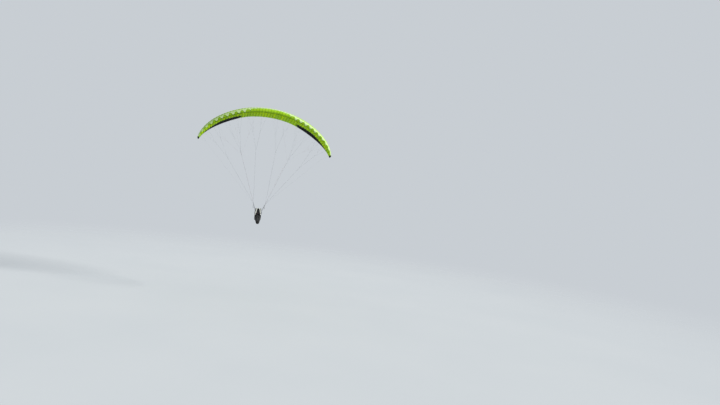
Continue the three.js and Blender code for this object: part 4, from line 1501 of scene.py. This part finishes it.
def make_reserve_handle():
    """Red handle on the reserve's side: a stuffed loop with a flat tab behind it."""
    build = Build("reserve_grip")
    centre = hung((-133, -60, -613))
    turn = np.array([[0, -1, 0], [1, 0, 0], [0, 0, 1]])
    path = round_rectangle(0.1, 0.025, 0.011)
    grip = 0.0036 + 0.0012 * smooth_step(0.0, 0.012, -path[:, 2])
    build.add(set_at(tube(path, grip, 10, closed=True), centre, turn))
    tab = np.linspace((0.0035, -0.04, 0.004), (0.0035, 0.04, 0.004), 6)
    build.add(ribbon(centre + tab, 0.02, 0.0018, (0, 0, 1)))
    for y in (-0.03, 0.03):
        seam = np.linspace((0.0025, y, -0.004), (0.0025, y, 0.012), 3)
        build.add(stitches(centre + seam, 0.003, 0.002), 1)
    build.piece("handle stitch", "harness", "handle_fabric", "reserve_handle")


# Stage, light and camera

FLOOR = {"z": -13.0, "radius": 70, "fade_from": 16.0, "fade_to": 60.0}
FLOOR_TONES = (0xBABEC2, 0xB4B9BE)
SKY = 0xD6DCE2
SKY_STRENGTH = 0.86
LIGHT_AIM = Vector((0, 0, -2))
# columns: name, strength, place, width in degrees, colour
SUNS = (("key_light", 5.0, (24, -9, 12), 16, (1.0, 0.97, 0.9)),
        ("fill_light", 0.8, (-14, -4, -16), 40, (1.0, 0.98, 0.86)))


def make_camera():
    data = bpy.data.cameras.new("camera")
    data.lens = CAMERA_LENS
    data.sensor_width = CAMERA_SENSOR
    data.clip_start = 0.1
    data.clip_end = 500
    camera = bpy.data.objects.new("camera", data)
    bpy.context.scene.collection.objects.link(camera)
    stand = Matrix.Translation(CAMERA_PLACE)
    for angle, axis in ((-CAMERA_YAW, "Z"), (math.pi / 2 + CAMERA_PITCH, "X"), (CAMERA_ROLL, "Z")):
        stand = stand @ Matrix.Rotation(angle, 4, axis)
    camera.matrix_world = stand
    bpy.context.scene.camera = camera


def make_stage():
    """A pale floor that fades into an equally pale surround, so that no horizon shows."""
    shade = Shade("floor_paint", Roughness=0.9, Specular_IOR_Level=0.1)
    shade.finish(shade.blend(shade.noise(0.15, 3), *FLOOR_TONES))
    distance = shade.node("VectorMath", {"operation": "LENGTH"}, i0=shade.place((1, 1, 0))).outputs["Value"]
    clear = shade.node("BsdfTransparent")
    shade.mix_with(clear, shade.step(distance, FLOOR["fade_from"], FLOOR["fade_to"]))
    rim = circle((0, 0, FLOOR["z"]), FLOOR["radius"], 64, (1, 0, 0), (0, 1, 0))
    floor = single("floor", (rim, [tuple(range(64))]), shade.material, smooth=False)
    # the floor throws no shadow, so that the light from below passes it
    floor.visible_shadow = False
    world = bpy.data.worlds.new("world")
    bpy.context.scene.world = world
    world.use_nodes = True
    background = world.node_tree.nodes["Background"]
    background.inputs["Color"].default_value = rgba(SKY)
    background.inputs["Strength"].default_value = SKY_STRENGTH
    bpy.context.scene.view_settings.view_transform = "Standard"


def make_sun(name, energy, place, degrees, colour):
    """A sun of an angle in degrees, that shines from a place towards the wing."""
    data = bpy.data.lights.new(name, "SUN")
    data.energy = energy
    data.color = colour
    data.angle = math.radians(degrees)
    lamp = bpy.data.objects.new(name, data)
    bpy.context.scene.collection.objects.link(lamp)
    lamp.location = place
    lamp.rotation_euler = (LIGHT_AIM - Vector(place)).to_track_quat("-Z", "Y").to_euler()


make_camera()
make_stage()
for sun in SUNS:
    make_sun(*sun)

top, bottom = make_canopy()
make_ribs()
tips, lips, hem = make_canopy_trim()
make_lines()
for side_name, side_sign in SIDES:
    for make_part in (make_risers, make_maillons, make_carabiner, make_pulley, make_toggle, make_hang_web,
                      make_shoulder_strap):
        make_part(side_name, side_sign)
for make_part in (make_shell, make_pod, make_plates, make_seat_cushion, make_back_pad, make_headrest,
                  make_rear_pocket, make_reserve_container, make_cockpit, make_chest_strap,
                  make_reserve_handle):
    make_part()
